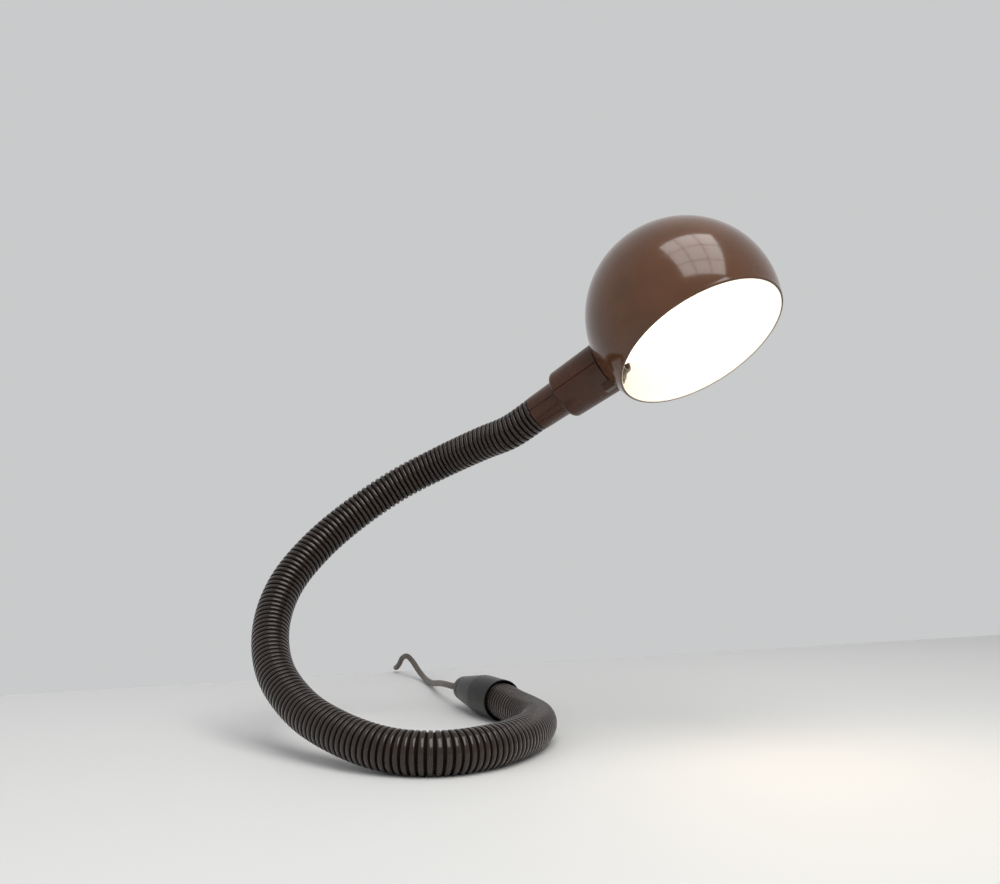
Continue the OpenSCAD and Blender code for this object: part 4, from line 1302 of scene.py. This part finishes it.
class LAMP_OT_inner_parts(bpy.types.Operator):
    """Finishes of the parts that stay as built: spine, inner lead, ferrules and contacts"""

    bl_idname = "lamp.inner_parts"
    bl_label = "Inner parts"

    def execute(self, context):
        kinds = {
            "spine_": "steel", "lead_": "lead", "bottom_ferrule": "zinc", "top_ferrule": "zinc",
            "nipple": "brass", "locknut": "brass", "lampholder_shell": "brass",
            "centre_contact": "brass", "terminal_screws": "brass", "switch_contacts": "brass",
            "switch_screws": "zinc", "bulb_contact": "holder", "bulb_stem": "clear",
            "bulb_filament": "wire", "sheath_": "neck", "bellows_": "neck", "end_cap": "cap",
            "cord_": "lead", "housing_": "housing", "lampholder": "holder",
            "shade_ring": "holder", "bulb_glass": "pearl", "bulb_cap": "nickel",
            "shade": "lacquer", "switch_": "fittings", "plug_body": "fittings",
            "plug_pins": "nickel",
        }
        for name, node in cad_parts.items():
            dress(node, finish(next(v for k, v in kinds.items() if name.startswith(k))))
        return {"FINISHED"}


class LAMP_OT_stage(bpy.types.Operator):
    """Pale floor, backdrop, soft lights and the lamp's own light"""

    bl_idname = "lamp.stage"
    bl_label = "Stage"

    def execute(self, context):
        scene = context.scene
        clear_selection()
        bpy.ops.mesh.primitive_plane_add(size=6, location=(0, 1.2, 0))
        floor = dress(bpy.context.object, finish("floor"))
        floor.name = "stage_floor"
        self.backdrop()
        self.world(scene)
        self.lights(scene)
        scene.view_settings.view_transform = "Standard"
        return {"FINISHED"}

    @staticmethod
    def backdrop():
        """Backdrop that starts at the far edge of the table, seen from the front only."""
        a, b, up = Vector((-1.6, -0.362, 0)), Vector((1.6, 1.215, 0)), Vector((0, 0, 1.6))
        clear_selection()
        bpy.ops.mesh.primitive_plane_add(size=1)
        wall = dress(bpy.context.object, finish("wall"))
        wall.name = "stage_backdrop"
        for v, place in zip(wall.data.vertices, (a, b, a + up, b + up)):
            v.co = place
        wall.visible_shadow = wall.visible_diffuse = False

    @staticmethod
    def world(scene):
        """Camera, gloss and glass see the plain backdrop; softer light falls on the rest."""
        scene.world = bpy.data.worlds.new("studio")
        scene.world.use_nodes = True
        sky = Nodes(scene.world.node_tree)
        sky.tree.nodes.remove(sky.tree.nodes["Background"])
        soft = sky.node("ShaderNodeBackground", {"Color": (0.80, 0.82, 0.84), "Strength": 0.34})
        plain = sky.node("ShaderNodeBackground", {
            "Color": tuple(scene.lamp_colours.backdrop), "Strength": 1.0})
        seen, gloss, glass = (
            sky.node("ShaderNodeLightPath", output=kind)
            for kind in ("Is Camera Ray", "Is Glossy Ray", "Is Transmission Ray"))
        sky.result(sky.node(
            "ShaderNodeMixShader", {0: seen.most(gloss).most(glass), 1: soft, 2: plain}))

    @staticmethod
    def lights(scene):
        def light(name, kind, place, target, **settings):
            data = bpy.data.lights.new(name, kind)
            for key, value in settings.items():
                setattr(data, key, value)
            lamp = bpy.data.objects.new(name, data)
            scene.collection.objects.link(lamp)
            lamp.location = place
            lamp.rotation_euler = (target - place).to_track_quat("-Z", "Y").to_euler()
            return lamp

        # Roof window in nine panes of one plane, whose bars show faintly in the lacquer
        middle, aim = Vector((0.30, -0.72, 1.45)), Vector((0.05, 0, 0.15))
        plane = (aim - middle).to_track_quat("-Z", "Y")
        for i in (-1, 0, 1):
            for j in (-1, 0, 1):
                shift = plane @ Vector((0.40 * i, 0.46 * j, 0))
                light("roof_light_%d%d" % (i + 1, j + 1), "AREA", middle + shift, aim + shift,
                      energy=2.1, color=(1, 0.99, 0.97), shape="RECTANGLE", size=0.38,
                      size_y=0.44)
        # Side and fill light, which give no highlights of their own
        heart = Vector((0, 0, 0.15))
        for name, place, size, power, tint in (
                ("side_light", (-2.0, -1.2, 1.6), 1.8, 13, (0.96, 0.98, 1)),
                ("fill_light", (1.6, -1.5, 1.2), 1.0, 5, (1, 1, 1))):
            light(name, "AREA", Vector(place), heart, energy=power, color=tint,
                  size=size).visible_glossy = False
        # The bulb's own light, and the light that the mouth throws on the table
        bulb = HEAD_SEAT + NECK_DIR * 0.138 - Vector((0, 0, 0.006))
        light("bulb_light", "POINT", bulb, heart, energy=0.085, color=(1.0, 0.92, 0.80),
              shadow_soft_size=0.02)
        outwards = MOUTH_FRAME.to_3x3() @ Vector((0, 0, 1))
        mouth = MOUTH_FRAME.translation + 0.06 * outwards
        light("pool_light", "SPOT", mouth, mouth + outwards, energy=0.7,
              color=(1.0, 0.74, 0.45), spot_size=math.radians(120), spot_blend=1,
              shadow_soft_size=0.05)


class LAMP_PT_panel(bpy.types.Panel):
    """Sizes, colours and pieces of the lamp"""

    bl_label = "Gooseneck lamp"
    bl_space_type = "VIEW_3D"
    bl_region_type = "UI"
    bl_category = "Lamp"

    def draw(self, context):
        for group in (context.scene.lamp_sizes, context.scene.lamp_colours):
            box = self.layout.box()
            for name in group.bl_rna.properties.keys():
                if name not in ("rna_type", "name"):
                    box.prop(group, name)
        for operator in OPERATORS:
            self.layout.operator(operator.bl_idname)


# In the order in which they are made
OPERATORS = (
    LAMP_OT_camera, LAMP_OT_inner_parts, LAMP_OT_switch, LAMP_OT_plug, LAMP_OT_mains_lead,
    LAMP_OT_neck, LAMP_OT_end_cap, LAMP_OT_housing, LAMP_OT_shade, LAMP_OT_socket,
    LAMP_OT_bulb, LAMP_OT_stage,
)
CLASSES = (LampSizes, LampColours) + OPERATORS + (LAMP_PT_panel,)


def register():
    for item in CLASSES:
        bpy.utils.register_class(item)
    bpy.types.Scene.lamp_sizes = PointerProperty(type=LampSizes)
    bpy.types.Scene.lamp_colours = PointerProperty(type=LampColours)


def unregister():
    del bpy.types.Scene.lamp_sizes
    del bpy.types.Scene.lamp_colours
    for item in reversed(CLASSES):
        bpy.utils.unregister_class(item)


def main():
    register()
    for operator in OPERATORS:
        getattr(bpy.ops.lamp, operator.bl_idname.split(".")[1])()


if __name__ == "__main__":
    main()
